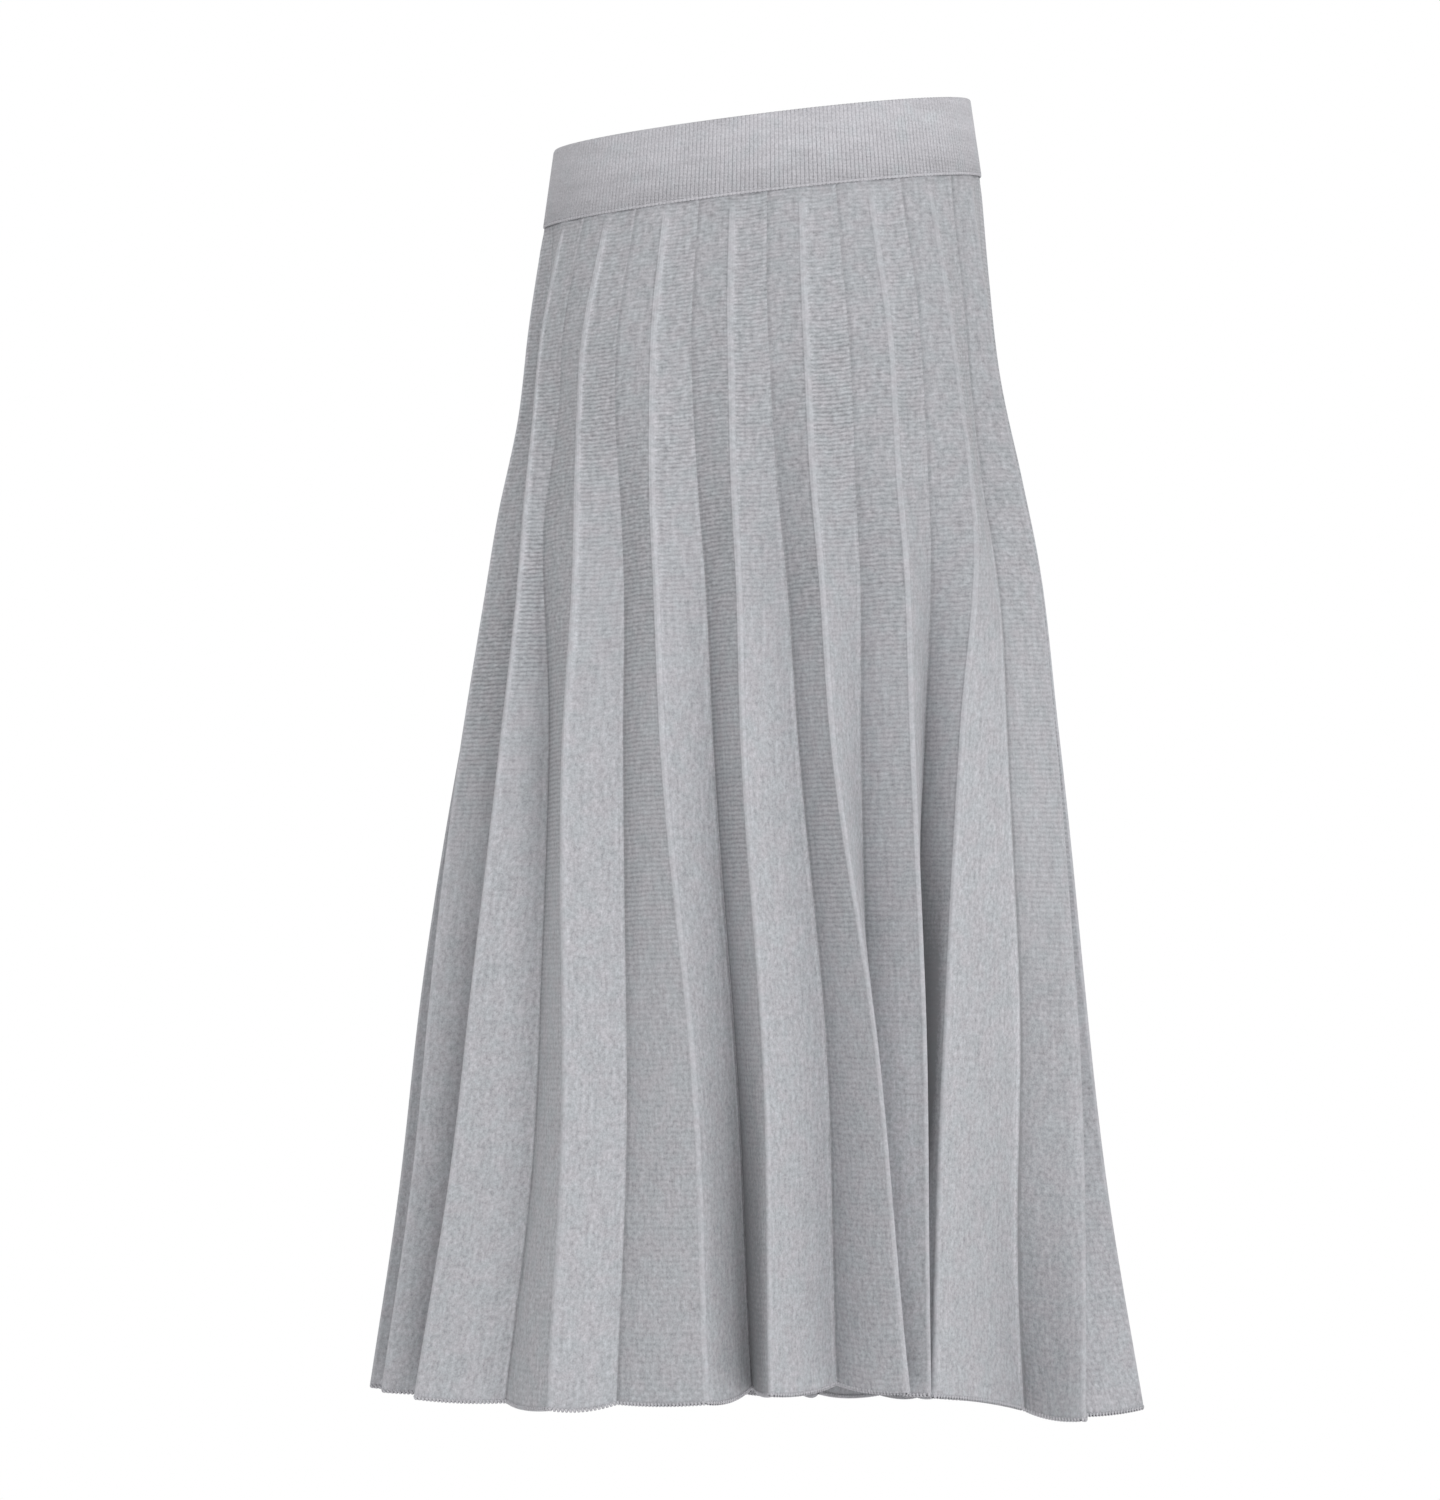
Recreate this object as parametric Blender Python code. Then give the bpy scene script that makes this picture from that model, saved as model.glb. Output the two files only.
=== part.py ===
"""Pleated midi skirt in fine knit, in the hollow form it takes when it is worn.

Two accordion-pleated panels, nine pleats each, meet in the side folds and hang from a doubled
waistband in 1x1 rib. Every outer fold carries a raised column of plain knit.

Frame: metres, +Z up, the wearer faces -Y. The origin is the middle of the waistband's ring.
A place round the skirt is counted in pleats, from 0 at the centre back towards the wearer's
right side (-X). A drop is measured down from the waist seam.
"""

import math
from typing import NamedTuple

import bmesh
import bpy
import numpy as np

# Waistband
BAND_HEIGHT = 0.046
BAND_WALL = 0.003
BAND_TOP_HALF_WIDTH = 0.1255
BAND_TOP_HALF_DEPTH = 0.0950
RIBS_PER_PLEAT = 16
RIB_RISE = 0.0006

# Pleated panels
SKIRT_DROP = 0.720
PLEAT_COUNT = 18
PANEL_PLEATS = 9
CLOTH_WALL = 0.002
SEAM_GAP = 0.0003

# The round of a fold, the plain column raised on an outer fold, and the swell of a face
FOLD_ROUND = 0.003
FOLD_CLEARANCE = 0.0006
COLUMN_HALF_WIDTH = 0.0022
COLUMN_RISE = 0.0006
COLUMN_FOOT = 0.00016
FACE_BILLOW = 0.030

# How softly a fold's depth levels off where its faces are drawn nearly flat
FOLD_SOFTNESS = 0.9

# The waist seam and the hem are tilted planes: height at the middle, then rise per metre
SEAM_HEIGHT = -0.023
SEAM_RISE_X = -0.110
SEAM_RISE_Y = -0.040
HEM_HEIGHT = -0.750
HEM_RISE_X = 0.026
HEM_RISE_Y = 0.056

# How late on the way down a fold's own lift and its own depth come in, as powers of the share
LIFT_POWER = 4
DEPTH_POWER = 2

# Levels of the cloth's rings, as drops
RING_DROPS = (0.0, 0.035, 0.080, 0.125, 0.170, 0.220, 0.290, 0.370, 0.460, 0.550, 0.640, SKIRT_DROP)

# Steps in which an ellipse's outline is measured
OUTLINE_STEPS = 1440

KNIT_GREY = (0.40, 0.405, 0.425, 1.0)
RIB_GREY = (0.43, 0.435, 0.455, 1.0)
KNIT_ROUGHNESS = 0.92


class Section(NamedTuple):
    """A level cut: the ellipse that the outer folds touch, and how deep an even pleat is."""

    drop: float
    half_width: float
    half_depth: float
    centre_x: float
    centre_y: float
    fold_depth: float


SECTIONS = (
    #       drop   width   depth   x       y      fold
    Section(0.000, 0.1320, 0.1000, 0.000, 0.000, 0.0005),
    Section(0.060, 0.1400, 0.1040, 0.001, 0.004, 0.0030),
    Section(0.120, 0.1475, 0.1100, 0.000, 0.008, 0.0075),
    Section(0.180, 0.1605, 0.1170, -0.001, 0.012, 0.0130),
    Section(0.225, 0.1690, 0.1220, -0.002, 0.013, 0.0165),
    Section(0.325, 0.1830, 0.1330, 0.001, 0.012, 0.0230),
    Section(0.470, 0.2010, 0.1500, 0.005, 0.008, 0.0310),
    Section(0.600, 0.2160, 0.1650, 0.005, 0.004, 0.0385),
    Section(0.720, 0.2350, 0.1800, 0.004, 0.000, 0.0440),
)


class Pleat(NamedTuple):
    """One pleat: an outer fold, and the inner fold that follows it towards the wearer's right.

    Strays are in pleats, from the fold's even place, at the levels of STRAY_DROPS. By the hem,
    in_depth multiplies the inner fold's depth, the tuck draws the outer fold in from the
    ellipse, and the lifts raise the two folds (metres).
    """

    out_upper: float
    out_hip: float
    out_thigh: float
    out_calf: float
    out_hem: float
    in_hip: float
    in_thigh: float
    in_calf: float
    in_hem: float
    in_depth: float
    tuck: float
    out_lift: float
    in_lift: float


FIRST_PLACE = -3.97
SEAM_STRAY = -0.11
STRAY_DROPS = (0.0, 0.090, 0.190, 0.325, 0.500, SKIRT_DROP)

BACK_PLEATS = (
    #     outer fold                       inner fold                        tuck   outer   inner
    #     upper  hip    thigh  calf   hem    hip    thigh  calf   hem   depth         lift    lift
    Pleat(-0.25, -0.09, 0.08, 0.40, 0.42, 0.06, 0.13, 0.30, 0.25, 1.00, 0.000, -0.001, -0.002),
    Pleat(-0.35, -0.04, 0.17, 0.24, 0.08, -0.36, 0.00, 0.34, 0.31, 1.00, 0.000, -0.004, -0.006),
    Pleat(-0.33, -0.09, 0.11, 0.47, 0.58, -0.06, 0.20, 0.50, 0.60, 0.45, 0.000, -0.007, -0.003),
    Pleat(-0.17, -0.03, 0.28, 0.74, 0.93, 0.00, 0.24, 0.58, 0.75, 0.85, 0.000, 0.000, 0.008),
    Pleat(-0.08, -0.01, 0.15, 0.42, 0.44, 0.02, 0.25, 0.57, 0.56, 1.20, 0.000, 0.006, 0.011),
    Pleat(-0.06, -0.05, 0.10, 0.47, 0.58, 0.00, 0.00, 0.03, -0.12, 0.75, 0.000, 0.010, 0.012),
    Pleat(0.10, 0.01, -0.01, 0.00, -0.21, 0.02, -0.10, -0.36, -0.71, 1.00, 0.010, 0.009, 0.010),
    Pleat(0.12, 0.05, -0.37, -0.73, -1.12, 0.05, -0.10, -0.07, -0.21, 3.00, 0.022, 0.007, 0.001),
    Pleat(0.10, 0.10, 0.20, 0.05, -0.77, 0.09, 0.10, -0.20, -0.44, 1.00, 0.000, -0.003, -0.001),
)

FRONT_PLEATS = (
    #     outer fold                       inner fold                        tuck   outer   inner
    #     upper  hip    thigh  calf   hem    hip    thigh  calf   hem   depth         lift    lift
    Pleat(0.08, 0.08, -0.10, -0.50, -0.33, 0.06, 0.00, -0.15, -0.15, 1.00, 0.000, 0.004, 0.002),
    Pleat(0.06, 0.05, 0.05, -0.05, -0.08, 0.02, 0.00, -0.10, -0.05, 1.00, 0.000, 0.003, 0.007),
    Pleat(0.04, 0.00, -0.10, -0.22, -0.10, 0.02, -0.05, -0.05, 0.10, 1.00, 0.000, 0.006, 0.008),
    Pleat(0.00, 0.05, 0.10, 0.15, 0.22, 0.02, 0.05, 0.10, 0.12, 1.00, 0.000, 0.005, 0.008),
    Pleat(0.00, 0.00, 0.00, -0.05, -0.08, -0.02, 0.00, 0.05, 0.05, 1.00, 0.000, 0.004, 0.007),
    Pleat(0.00, -0.04, -0.08, 0.06, 0.20, -0.02, 0.00, 0.20, 0.30, 1.00, 0.000, -0.002, 0.003),
    Pleat(-0.04, 0.00, 0.12, 0.30, 0.40, -0.02, 0.08, 0.20, 0.32, 1.00, 0.000, 0.000, 0.003),
    Pleat(-0.08, -0.05, 0.02, 0.16, 0.32, 0.02, 0.15, 0.40, 0.58, 1.00, 0.000, -0.001, 0.002),
    Pleat(-0.10, 0.10, 0.50, 0.78, 0.84, 0.00, 0.26, 0.54, 0.60, 1.00, 0.000, 0.001, 0.000),
)

PLEATS = BACK_PLEATS + FRONT_PLEATS


def smooth_curve(stations, values, at):
    """Value at one place on a cubic curve through (station, value) pairs."""
    slopes = np.gradient(np.asarray(values, dtype=float), np.asarray(stations, dtype=float))
    k = int(np.clip(np.searchsorted(stations, at) - 1, 0, len(stations) - 2))
    span = stations[k + 1] - stations[k]
    t = (at - stations[k]) / span
    start = (2 * t**3 - 3 * t**2 + 1) * values[k] + (t**3 - 2 * t**2 + t) * span * slopes[k]
    end = (3 * t**2 - 2 * t**3) * values[k + 1] + (t**3 - t**2) * span * slopes[k + 1]
    return float(start + end)


def section_at(drop):
    """The level cut at any drop, read smoothly from the table's rows."""
    drops = [row.drop for row in SECTIONS]
    return Section(*[smooth_curve(drops, column, drop) for column in zip(*SECTIONS)])


def ellipse_angle(half_width, half_depth, place):
    """Angle at which an ellipse's outline has run for this many pleats from the centre back."""
    angles = np.linspace(-math.pi, math.pi, OUTLINE_STEPS + 1)
    steps = np.hypot(half_width * np.diff(np.sin(angles)), half_depth * np.diff(np.cos(angles)))
    run = np.concatenate([[0.0], np.cumsum(steps)])
    places = (run / run[-1] - 0.5) * PLEAT_COUNT
    wrapped = (place + PLEAT_COUNT / 2) % PLEAT_COUNT - PLEAT_COUNT / 2
    return np.interp(wrapped, places, angles)


def ellipse_pitch(half_width, half_depth):
    """Length of one pleat's share of an ellipse's outline, by Ramanujan's formula."""
    ratio = ((half_width - half_depth) / (half_width + half_depth)) ** 2
    outline = math.pi * (half_width + half_depth) * (1 + 3 * ratio / (10 + math.sqrt(4 - 3 * ratio)))
    return outline / PLEAT_COUNT


def hull_point(section, place, inset=0.0):
    """Point (x, y) at a place on the section's ellipse, drawn in along the normal."""
    angle = ellipse_angle(section.half_width, section.half_depth, place)
    across = -math.sin(angle)
    back = math.cos(angle)
    normal = np.array([across / section.half_width, back / section.half_depth])
    normal /= np.linalg.norm(normal)
    centre = np.array([section.centre_x, section.centre_y])
    return centre + np.array([across * section.half_width, back * section.half_depth]) - normal * inset


def seam_height(x, y):
    """Height of the waist seam's plane over a point."""
    return SEAM_HEIGHT + SEAM_RISE_X * x + SEAM_RISE_Y * y


def cloth_height(section, place, drop, lift):
    """Height of the cloth at a place: the seam's tilt fades into the hem's on the way down."""
    x, y = hull_point(section, place)
    share = drop / SKIRT_DROP
    hem = HEM_HEIGHT + HEM_RISE_X * x + HEM_RISE_Y * y
    return (1 - share) * seam_height(x, y) + share * hem + lift * share**LIFT_POWER


def fold_places(drop):
    """Places of the outer folds and of the inner folds at one level, in pleats."""
    outer = []
    inner = []
    for index, pleat in enumerate(PLEATS):
        even = FIRST_PLACE + index
        following = PLEATS[(index + 1) % PLEAT_COUNT]
        in_upper = (pleat.out_upper + following.out_upper) / 2
        outer_strays = (
            SEAM_STRAY,
            pleat.out_upper,
            pleat.out_hip,
            pleat.out_thigh,
            pleat.out_calf,
            pleat.out_hem,
        )
        inner_strays = (SEAM_STRAY, in_upper, pleat.in_hip, pleat.in_thigh, pleat.in_calf, pleat.in_hem)
        outer.append(even + smooth_curve(STRAY_DROPS, outer_strays, drop))
        inner.append(even + 0.5 + smooth_curve(STRAY_DROPS, inner_strays, drop))
    return outer, inner


def fold_corners(drop):
    """Corners round one level as (point, height), outer and inner folds by turns.

    The faces of a pleat keep their width, so an inner fold lies deeper where its two outer
    folds stand closer together.
    """
    section = section_at(drop)
    pitch = ellipse_pitch(section.half_width, section.half_depth)
    face = math.hypot(section.fold_depth, pitch / 2)
    softness = FOLD_SOFTNESS * section.fold_depth
    own = (drop / SKIRT_DROP) ** DEPTH_POWER
    outer, inner = fold_places(drop)
    following = outer[1:] + [outer[0] + PLEAT_COUNT]
    corners = []
    for index, pleat in enumerate(PLEATS):
        tuck = pleat.tuck * own
        height = cloth_height(section, outer[index], drop, pleat.out_lift)
        corners.append((hull_point(section, outer[index], tuck), height))
        before = (inner[index] - outer[index]) * pitch
        after = (following[index] - inner[index]) * pitch
        spare = face**2 - (before**2 + after**2) / 2
        depth = math.sqrt((spare + math.hypot(spare, softness**2)) / 2)
        inset = depth * (1 + (pleat.in_depth - 1) * own)
        height = cloth_height(section, inner[index], drop, pleat.in_lift)
        corners.append((hull_point(section, inner[index], inset), height))
    return corners


def side_rows(here, along, normal, reach, is_outer):
    """Rows on one side of a fold, from the fold out: (outside point, inside point, distance)."""
    inside = here + along * reach - normal * CLOTH_WALL / 2
    if not is_outer:
        return [(inside + normal * CLOTH_WALL, inside, reach)]
    rows = []
    for distance, rise, foot in ((COLUMN_HALF_WIDTH, COLUMN_RISE, COLUMN_FOOT), (FOLD_ROUND, 0.0, 0.0)):
        outside = here + along * distance + normal * (CLOTH_WALL / 2 + rise)
        rows.append((outside, inside - along * foot, distance))
    return rows


def fold_rows(before, here, after, is_outer):
    """Wall rows round one fold: (outside point, inside point, share of the way to a neighbour).

    The share is negative towards the corner before and positive towards the one after. The
    round starts far enough out for the wall's inside to stay clear of itself.
    """
    length_in = np.linalg.norm(here - before)
    length_out = np.linalg.norm(after - here)
    along_in = (here - before) / length_in
    along_out = (after - here) / length_out
    out_in = np.array([along_in[1], -along_in[0]])
    out_out = np.array([along_out[1], -along_out[0]])
    outward = (out_in + out_out) / np.linalg.norm(out_in + out_out)
    straightness = float(along_in @ along_out)
    half_cos = math.sqrt(max((1 - straightness) / 2, 0.0))
    half_sin = math.sqrt((1 + straightness) / 2)
    reach = max(FOLD_ROUND, CLOTH_WALL / 2 * half_cos / half_sin + FOLD_CLEARANCE)
    bend = 1 if is_outer else -1
    rise = COLUMN_RISE if is_outer else 0.0
    apex = here - outward * bend * reach * half_cos / 2
    leading = side_rows(here, -along_in, out_in, reach, is_outer)
    trailing = side_rows(here, along_out, out_out, reach, is_outer)
    rows = [(outside, inside, -distance / length_in) for outside, inside, distance in reversed(leading)]
    rows.append((apex + outward * (CLOTH_WALL / 2 + rise), apex - outward * CLOTH_WALL / 2, 0.0))
    rows += [(outside, inside, distance / length_out) for outside, inside, distance in trailing]
    return rows


def face_middle(corners, index, drop):
    """Middle of the face that follows a corner, swelled out, with its normal and height."""
    total = len(corners)
    here, height = corners[index % total]
    after, height_after = corners[(index + 1) % total]
    is_outer = index % 2 == 0
    far = corners[(index + 2) % total][0] if is_outer else after
    near = here if is_outer else corners[(index - 1) % total][0]
    length = float(np.linalg.norm(after - here))
    normal = np.array([after[1] - here[1], here[0] - after[0]]) / length
    openness = min(float(np.linalg.norm(far - near)) / length, 1.0)
    swell = FACE_BILLOW * length * openness * drop / SKIRT_DROP
    return (here + after) / 2 + normal * swell, normal, (height + height_after) / 2


def wall_ring(drop, first, count):
    """Outside and inside points of one panel's wall at one level, from seam fold to seam fold."""
    corners = fold_corners(drop)
    total = len(corners)
    outside = []
    inside = []
    start = 2 * first - 1
    end = 2 * (first + count) - 1
    for index in range(start, end + 1):
        before, height_before = corners[(index - 1) % total]
        here, height = corners[index % total]
        after, height_after = corners[(index + 1) % total]
        rows = fold_rows(before, here, after, index % 2 == 0)
        if index == start:
            rows = rows[1:]
        if index == end:
            rows = rows[:2]
        for out_point, in_point, step in rows:
            neighbour = height_before if step < 0 else height_after
            z = height + (neighbour - height) * abs(step)
            outside.append([*out_point, z])
            inside.append([*in_point, z])
        if index < end:
            middle, normal, z = face_middle(corners, index, drop)
            outside.append([*(middle + normal * CLOTH_WALL / 2), z])
            inside.append([*(middle - normal * CLOTH_WALL / 2), z])
    return part_at_seams(np.array(outside), np.array(inside))


def part_at_seams(outside, inside):
    """Draw both ends of a panel's wall back by half of the seam's gap."""
    for end, neighbour in ((0, 1), (-1, -2)):
        along = outside[neighbour] - outside[end]
        shift = along / np.linalg.norm(along) * SEAM_GAP / 2
        outside[end] += shift
        inside[end] += shift
    return outside, inside


def panel_mesh(name, first, count):
    """Closed shell of one pleated panel, lofted through the wall rings of every level."""
    build = bmesh.new()
    grid = []
    for drop in RING_DROPS:
        outside, inside = wall_ring(drop, first, count)
        loop = np.vstack([outside, inside[::-1]])
        grid.append([build.verts.new(point) for point in loop])
    around = len(grid[0])
    for upper, lower in zip(grid, grid[1:]):
        for k in range(around):
            following = (k + 1) % around
            build.faces.new((upper[k], lower[k], lower[following], upper[following]))
    for loop in (grid[0], grid[-1]):
        for k in range(around // 2 - 1):
            build.faces.new((loop[k], loop[k + 1], loop[around - 2 - k], loop[around - 1 - k]))
    return finish_mesh(build, name)


def band_mesh(name):
    """Closed shell of the waistband: ribs raised outside, plain inside, open top and bottom."""
    points = 2 * RIBS_PER_PLEAT * PLEAT_COUNT
    base = section_at(0.0)
    build = bmesh.new()
    grid = []
    for share, is_outside in ((0.0, True), (1.0, True), (1.0, False), (0.0, False)):
        half_width = base.half_width + (BAND_TOP_HALF_WIDTH - base.half_width) * share
        half_depth = base.half_depth + (BAND_TOP_HALF_DEPTH - base.half_depth) * share
        section = base._replace(half_width=half_width, half_depth=half_depth)
        loop = []
        for k in range(points):
            rise = RIB_RISE if k % 2 == 0 else 0.0
            offset = BAND_WALL / 2 + rise if is_outside else -BAND_WALL / 2
            x, y = hull_point(section, k * PLEAT_COUNT / points, -offset)
            z = seam_height(x, y) + SEAM_GAP + share * (BAND_HEIGHT - SEAM_GAP)
            loop.append(build.verts.new((x, y, z)))
        grid.append(loop)
    for lower, upper in zip(grid, grid[1:] + grid[:1]):
        for k in range(points):
            following = (k + 1) % points
            build.faces.new((lower[k], lower[following], upper[following], upper[k]))
    return finish_mesh(build, name)


def finish_mesh(build, name):
    """Turn a built shell into a mesh of triangles with its faces pointing out."""
    bmesh.ops.recalc_face_normals(build, faces=build.faces)
    bmesh.ops.triangulate(build, faces=build.faces)
    mesh = bpy.data.meshes.new(name)
    build.to_mesh(mesh)
    build.free()
    return mesh


def knit_material(name, colour):
    """Soft matt knit in one plain colour."""
    material = bpy.data.materials.new(name)
    material.use_nodes = True
    shader = material.node_tree.nodes["Principled BSDF"]
    shader.inputs["Base Color"].default_value = colour
    shader.inputs["Roughness"].default_value = KNIT_ROUGHNESS
    shader.inputs["Metallic"].default_value = 0.0
    return material


def add_piece(name, mesh, material):
    """Place one named piece in the scene."""
    mesh.materials.append(material)
    piece = bpy.data.objects.new(name, mesh)
    bpy.context.scene.collection.objects.link(piece)


def main():
    """Build the waistband and the two pleated panels."""
    for leftover in list(bpy.data.objects):
        bpy.data.objects.remove(leftover, do_unlink=True)
    add_piece("waistband", band_mesh("waistband"), knit_material("rib_knit", RIB_GREY))
    for name, first in (("back_panel", 0), ("front_panel", PANEL_PLEATS)):
        add_piece(name, panel_mesh(name, first, PANEL_PLEATS), knit_material(f"{name}_knit", KNIT_GREY))


main()
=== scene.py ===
"""Pleated midi skirt in fine heather-grey knit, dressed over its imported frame.

Two accordion-pleated panels hang from a doubled 1x1 rib waistband. The cloth is a thin shell in
the worn form; ribs, linking chain and hem stitches are made with Geometry Nodes. Metres, +Z up,
the wearer faces -Y. A place round the skirt is counted in pleats, from 0 at the centre back
towards the wearer's right side (-X), and a drop is measured down from the waist seam.
"""

import logging
import math
from dataclasses import dataclass, field
from enum import Enum
from typing import Any, NamedTuple, Sequence

import bmesh
import bpy
import numpy as np
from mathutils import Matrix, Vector


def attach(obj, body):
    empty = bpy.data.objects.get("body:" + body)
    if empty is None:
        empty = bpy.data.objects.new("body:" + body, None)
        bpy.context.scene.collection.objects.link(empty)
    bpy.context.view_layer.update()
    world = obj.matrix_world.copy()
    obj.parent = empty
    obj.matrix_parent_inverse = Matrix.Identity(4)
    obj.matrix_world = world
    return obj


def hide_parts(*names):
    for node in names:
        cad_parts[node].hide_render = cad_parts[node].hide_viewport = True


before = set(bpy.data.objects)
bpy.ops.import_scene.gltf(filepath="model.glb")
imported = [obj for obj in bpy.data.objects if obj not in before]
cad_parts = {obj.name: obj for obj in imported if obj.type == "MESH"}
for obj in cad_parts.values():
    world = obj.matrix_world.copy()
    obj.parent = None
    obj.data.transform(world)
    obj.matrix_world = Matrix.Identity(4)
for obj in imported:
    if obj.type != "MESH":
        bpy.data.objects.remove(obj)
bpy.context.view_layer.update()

LOG = logging.getLogger("pleated_skirt")
BODY = "root"

# What a maker would write on the pattern, in metres
PLEAT_COUNT = 18
PANEL_PLEATS = 9
SKIRT_DROP = 0.720
FIRST_PLACE = -3.97
SEAM_STRAY = -0.11
STRAY_DROPS = (0.0, 0.090, 0.190, 0.325, 0.500, SKIRT_DROP)
FOLD_SOFTNESS = 0.9
# Points that a section's outline is measured with
OUTLINE_POINTS = 1441
# How far apart the seeds of two panels' faces are, and the least bend that a fold is rounded for
SEED_STEP = 100
LEAST_BEND = 1e-6

# How far under the band's top the ribs bend, how much shorter their legs are than the band, and
# how far apart the hem stitches are
RIB_TOP = 0.0013
RIB_SHORT = 0.0016
HEM_PITCH = 0.0024


Span = tuple[float, float]
Triple = tuple[float, float, float]
Material = bpy.types.Material
Piece = bpy.types.Object


class PaintedFoldShade(NamedTuple):
    """Painted shade that an inner fold lays on its faces: the drops where it starts, is full, fades and
    ends.

    amount is how much painted shade it lays there, and hem how much near the hem. Less than 0 paints light
    instead of shade.
    """

    start: float
    full: float
    fade: float
    end: float
    amount: float
    hem: float


# The inner folds that close up and get painted shade, by the number of the pleat before them
PAINTED_FOLD_SHADES = {
    3: PaintedFoldShade(0.44, 0.64, 0.78, 0.90, 0.56, 0.0),
    5: PaintedFoldShade(0.42, 0.54, 0.62, 0.72, -0.28, 0.0),
    6: PaintedFoldShade(0.37, 0.51, 0.54, 0.61, 1.00, -0.9),
    7: PaintedFoldShade(0.36, 0.52, 0.80, 0.90, 0.22, 0.0),
}
PAINTED_HEM_SHADE_BEGINS = (0.58, 0.66)

# How far apart the pleats lie on the cloth's UV map
UV_SPREAD = 0.20
# Length of cloth for each metre of drop, as its faces lean outwards
CLOTH_PER_DROP = 1.012

Values = dict[Any, Any]


# --------------------------------------------------------------------------- worn form


class Section(NamedTuple):
    """A level cut: the ellipse that the outer folds touch, and how deep an even pleat is."""

    drop: float
    half_width: float
    half_depth: float
    centre_x: float
    centre_y: float
    fold_depth: float


SECTIONS = (
    Section(0.000, 0.1320, 0.1000, 0.000, 0.000, 0.0005),
    Section(0.060, 0.1400, 0.1040, 0.001, 0.004, 0.0030),
    Section(0.120, 0.1475, 0.1100, 0.000, 0.008, 0.0075),
    Section(0.180, 0.1605, 0.1170, -0.001, 0.012, 0.0130),
    Section(0.225, 0.1690, 0.1220, -0.002, 0.013, 0.0165),
    Section(0.325, 0.1830, 0.1330, 0.001, 0.012, 0.0230),
    Section(0.470, 0.2010, 0.1500, 0.005, 0.008, 0.0310),
    Section(0.600, 0.2160, 0.1650, 0.005, 0.004, 0.0385),
    Section(0.720, 0.2350, 0.1800, 0.004, 0.000, 0.0440),
)


class Pleat(NamedTuple):
    """Strays of a pleat's outer and inner folds from their even places, in pleats, by level."""

    out_upper: float
    out_hip: float
    out_thigh: float
    out_calf: float
    out_hem: float
    in_hip: float
    in_thigh: float
    in_calf: float
    in_hem: float
    in_depth: float
    tuck: float
    out_lift: float
    in_lift: float

    def outer_strays(self) -> Sequence[float]:
        """The outer fold's strays, from under the waist to the hem."""
        return self.out_upper, self.out_hip, self.out_thigh, self.out_calf, self.out_hem

    def inner_strays(self, following: "Pleat") -> Sequence[float]:
        """The inner fold's strays; near the waist it keeps between its two outer folds."""
        upper = (self.out_upper + following.out_upper) / 2
        return upper, self.in_hip, self.in_thigh, self.in_calf, self.in_hem


PLEATS = (
    #     outer fold                       inner fold                        tuck   outer   inner
    #     upper  hip    thigh  calf   hem    hip    thigh  calf   hem   depth         lift    lift
    Pleat(-0.25, -0.09, 0.08, 0.40, 0.42, 0.06, 0.13, 0.30, 0.25, 1.00, 0.000, -0.001, -0.002),
    Pleat(-0.35, -0.04, 0.17, 0.24, 0.08, -0.36, 0.00, 0.34, 0.31, 1.00, 0.000, -0.004, -0.006),
    Pleat(-0.33, -0.09, 0.11, 0.47, 0.58, -0.06, 0.20, 0.50, 0.60, 0.45, 0.000, -0.007, -0.003),
    Pleat(-0.17, -0.03, 0.28, 0.74, 0.93, 0.00, 0.24, 0.58, 0.75, 0.85, 0.000, 0.000, 0.008),
    Pleat(-0.08, -0.01, 0.15, 0.42, 0.44, 0.02, 0.25, 0.57, 0.56, 1.20, 0.000, 0.006, 0.011),
    Pleat(-0.06, -0.05, 0.10, 0.47, 0.58, 0.00, 0.00, 0.03, -0.12, 0.75, 0.000, 0.010, 0.012),
    Pleat(0.10, 0.01, -0.01, 0.00, -0.21, 0.02, -0.10, -0.36, -0.71, 1.00, 0.010, 0.009, 0.010),
    Pleat(0.12, 0.05, -0.37, -0.73, -1.12, 0.05, -0.10, -0.07, -0.21, 3.00, 0.022, 0.007, 0.001),
    Pleat(0.10, 0.10, 0.20, 0.05, -0.77, 0.09, 0.10, -0.20, -0.44, 1.00, 0.000, -0.003, -0.001),
    Pleat(0.08, 0.08, -0.10, -0.50, -0.33, 0.06, 0.00, -0.15, -0.15, 1.00, 0.000, 0.004, 0.002),
    Pleat(0.06, 0.05, 0.05, -0.05, -0.08, 0.02, 0.00, -0.10, -0.05, 1.00, 0.000, 0.003, 0.007),
    Pleat(0.04, 0.00, -0.10, -0.22, -0.10, 0.02, -0.05, -0.05, 0.10, 1.00, 0.000, 0.006, 0.008),
    Pleat(0.00, 0.05, 0.10, 0.15, 0.22, 0.02, 0.05, 0.10, 0.12, 1.00, 0.000, 0.005, 0.008),
    Pleat(0.00, 0.00, 0.00, -0.05, -0.08, -0.02, 0.00, 0.05, 0.05, 1.00, 0.000, 0.004, 0.007),
    Pleat(0.00, -0.04, -0.08, 0.06, 0.20, -0.02, 0.00, 0.20, 0.30, 1.00, 0.000, -0.002, 0.003),
    Pleat(-0.04, 0.00, 0.12, 0.30, 0.40, -0.02, 0.08, 0.20, 0.32, 1.00, 0.000, 0.000, 0.003),
    Pleat(-0.08, -0.05, 0.02, 0.16, 0.32, 0.02, 0.15, 0.40, 0.58, 1.00, 0.000, -0.001, 0.002),
    Pleat(-0.10, 0.10, 0.50, 0.78, 0.84, 0.00, 0.26, 0.54, 0.60, 1.00, 0.000, 0.001, 0.000),
)


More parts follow.
